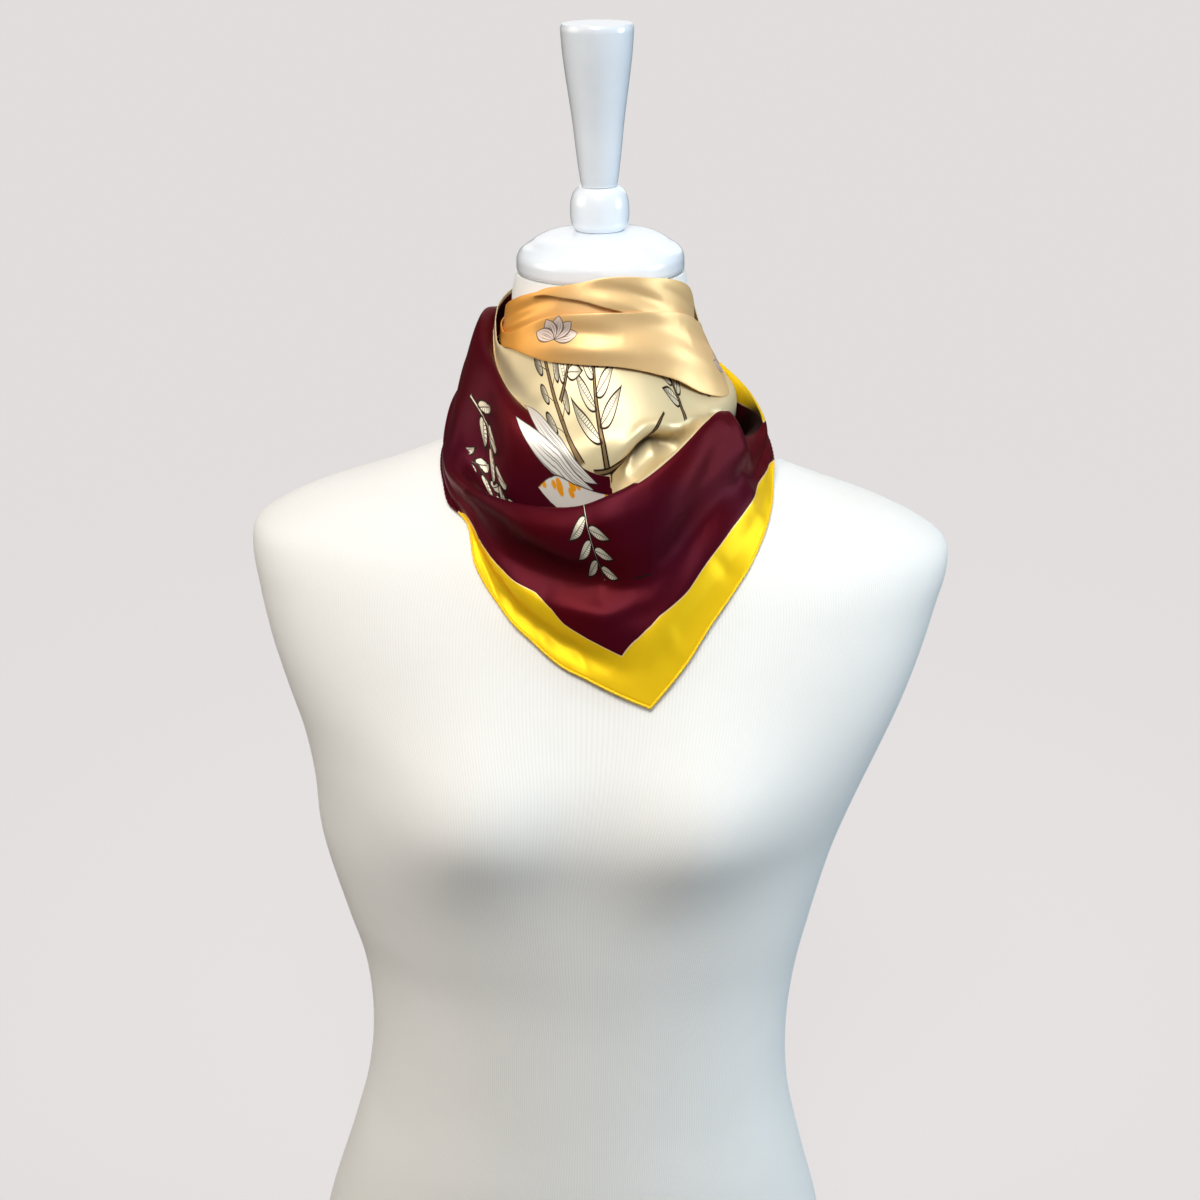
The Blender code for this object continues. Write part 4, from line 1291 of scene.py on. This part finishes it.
# %% Sweeping a pleat
def soft_folds(folds, angle, share, length):
    """How far a pleat's face stands out for folds that run from one angle and share to another."""
    out, run = 0, np.radians(angle) * NECK_RADIUS
    for height, width, (angle_0, share_0), (angle_1, share_1) in folds:
        start, end = np.radians((angle_0, angle_1)) * NECK_RADIUS
        at = np.clip((run - start) / (end - start), 0, 1)
        beside = (share - (share_0 + (share_1 - share_0) * at)) * length
        beyond = run - (start + (end - start) * at)
        out = out + height * fade_out(at) * np.exp(-(beside**2 + beyond**2) / width**2)
    return out


def pleat(name, edges, place_y, folds, count=190, around=72):
    """A folded pleat round the neck: a closed section with rounded edges, swept by angle."""
    angles = np.linspace(edges["angle"][0], edges["angle"][-1], count)[:, None]
    top_r, top_z, low_r, low_z = (read(edges, key, angles) for key in list(edges)[1:])
    turn = np.linspace(0, 2 * math.pi, around + 1)[None, :]
    share = 0.5 - 0.5 * np.cos(turn)
    thick = np.sign(np.sin(turn)) * np.abs(np.sin(turn)) ** 0.4 * BAND_CLOTH / 2
    length = np.hypot(low_r - top_r, low_z - top_z)
    radius = top_r + (low_r - top_r) * share - BAND_CLOTH / 2 + thick * (top_z - low_z) / length
    radius = radius + soft_folds(folds, angles + 0 * turn, share, length)
    height = top_z + (low_z - top_z) * share + thick * (low_r - top_r) / length
    points = round_neck(angles + 0 * turn, radius, height)
    flat_x = MIDDLE + angles * math.radians(ROUND_NECK) + 0 * turn
    flat_y = place_y - share * length + np.where(turn > math.pi, LAYER_SHIFT, 0)
    piece = lay_grid(name, points, np.stack([flat_x, flat_y], -1) / SIDE)
    sew_up(piece)
    finish_piece(piece, peach, 60)
    return piece


print("pleats are", BAND_CLOTH, "mm thick")

# %% [markdown]
# Each fold has a height and a width in millimetres, then the angle and the share of the pleat's
# breadth where it starts and where it ends. The lowest pleat is the widest and has the most.

# %% Three pleats
TOP_FOLDS = [
    (-1.7, 4, (-6, 0.35), (40, 0.55)),
    (1.3, 4, (6, 0.75), (60, 0.85)),
    (-0.8, 3, (36, 0.2), (72, 0.5)),
]
MIDDLE_FOLDS = [(-1.5, 4, (-66, 0.45), (-22, 0.3)), (0.9, 3, (-80, 0.75), (-34, 0.6))]
LOWER_FOLDS = [
    (-1.9, 5, (-36, 0.3), (14, 0.42)),
    (1.4, 5, (-30, 0.7), (26, 0.72)),
    (-2.0, 7, (2, 0.18), (52, 0.34)),
    (1.7, 8, (20, 0.55), (74, 0.62)),
    (-1.4, 4, (44, 0.12), (80, 0.34)),
    (-0.7, 4, (-88, 0.5), (-48, 0.5)),
]
bands = [
    pleat("pleat_top", BAND_TOP, 320, TOP_FOLDS),
    pleat("pleat_middle", BAND_MIDDLE, 350, MIDDLE_FOLDS),
    pleat("pleat_lower", BAND_LOWER, 380, LOWER_FOLDS),
]
for band, node in zip(bands, ("neck_band_top", "neck_band_middle", "neck_band_lower")):
    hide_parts(node)

# %% [markdown]
# ## The tie at the nape
# Two corners of the square are tied behind the neck. Each free end is a gathered strip that opens
# into its corner, with the yellow border round it, and it lies on the body's back.

# %% Knot and tails
KNOT_CENTRE, KNOT_SIZE = (0, 68.4, -39.5), (24, 14, 17.5)
TAIL = table("distance half_width lift", [
    (0, 6.5, 12), (15, 9.5, 8), (40, 15, 6), (75, 21, 5), (105, 25, 4.5), (140, 0.8, 4),
])
TAIL_TOP, TAIL_SPLAY, TAIL_OFFSET = -55.2, math.radians(17), 9.5
FOLD_DEPTH, FOLD_LENGTH = 1.8, 100


def free_end(name, side, rows=90, count=40):
    """A free end of the scarf that lies on the body's back and ends in a corner."""
    long = TAIL["distance"][-1]
    distance = np.linspace(long, 0, rows)[:, None]
    across = np.linspace(-1, 1, count)[None, :]
    half = read(TAIL, "half_width", distance)
    x = side * (TAIL_OFFSET + distance * math.sin(TAIL_SPLAY)) - across * half
    z = TAIL_TOP - distance * math.cos(TAIL_SPLAY) - 0 * across
    deep = FOLD_DEPTH * np.clip(1.1 - distance / FOLD_LENGTH, 0.3, 1)
    folds = deep * np.cos(across * 3 * math.pi + distance / 40 * side)
    y = torso_back(x, z) + read(TAIL, "lift", distance) + folds
    points = np.stack([x, y, z], -1)
    from_tip = long - distance + 0 * across
    flat = np.stack([from_tip + across * half, from_tip - across * half], -1) / math.sqrt(2)
    piece = lay_grid(name, points, flat / SIDE)
    applied(piece, "SOLIDIFY", thickness=SILK * MM, offset=-1)
    finish_piece(piece, silk, 180)
    return piece


tails = [free_end("left_end", -1), free_end("right_end", 1)]
for tail, node in zip(tails, ("left_tail", "right_tail")):
    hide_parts(node)

# %% [markdown]
# The knot is a padded ball of cloth. One strand passes over it at a slant and stands proud, with
# a few folds along it, and the strands below spread to both sides in folds of their own. A slight
# groove runs along both edges of the strand.

# %% The knot itself
STRAP_COS, STRAP_SIN, STRAP_HALF, STRAP_EDGE = 0.86, 0.5, 0.46, 0.035
GROOVE_PLACE, GROOVE_WIDTH, GROOVE_DEPTH, BELOW_STRAP = 0.52, 0.06, 0.05, 0.88
longitude = np.linspace(0, 2 * math.pi, 193)[None, :]
latitude = np.linspace(-1.55, 1.55, 121)[:, None]
x, y = np.cos(latitude) * np.cos(longitude), np.cos(latitude) * np.sin(longitude)
z = np.sin(latitude) + 0 * longitude
over_strap, along_strap = x * STRAP_COS + z * STRAP_SIN, z * STRAP_COS - x * STRAP_SIN
on_strap = 1 / (1 + np.exp((np.abs(over_strap) - STRAP_HALF) / STRAP_EDGE))
strap_folds = 0.03 * np.cos(over_strap * 17 + along_strap * 2.4)
side_folds = 0.05 * np.cos(9 * np.arctan2(z, y) + 2.5 * over_strap)
proud = 1 - BELOW_STRAP
swell = BELOW_STRAP + on_strap * (proud + strap_folds) + (1 - on_strap) * side_folds
groove = np.exp(-(((np.abs(over_strap) - GROOVE_PLACE) / GROOVE_WIDTH) ** 2))
swell = swell * (1 - GROOVE_DEPTH * groove)
knot_flat = np.stack([0.2 + 0.05 * along_strap, (BORDER + 9 - 24 * over_strap) / SIDE], -1)
knot_points = swell[..., None] * np.stack([x, y, z], -1) * KNOT_SIZE + KNOT_CENTRE
knot = lay_grid("tied_knot", knot_points, knot_flat)
sew_up(knot)
finish_piece(knot, silk, 180)
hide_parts("nape_knot")

# %% [markdown]
# ## What the cloth measures
# The scarf is a single square, so the sizes here are those of the stretches that show, and the
# area of each piece is measured from its own faces.

# %% Sheets
def area_of(piece):
    mesh = bmesh.new()
    mesh.from_mesh(piece.data)
    area = sum(face.calc_area() for face in mesh.faces)
    mesh.free()
    return area / 2


area_of(scarf)
for band, size in zip(bands, ((0.16, 0.045), (0.14, 0.045), (0.23, 0.06))):
    area_of(band)
for tail in tails:
    area_of(tail)
print("areas", {piece.name: round(area_of(piece), 5) for piece in (scarf, *bands, *tails)})
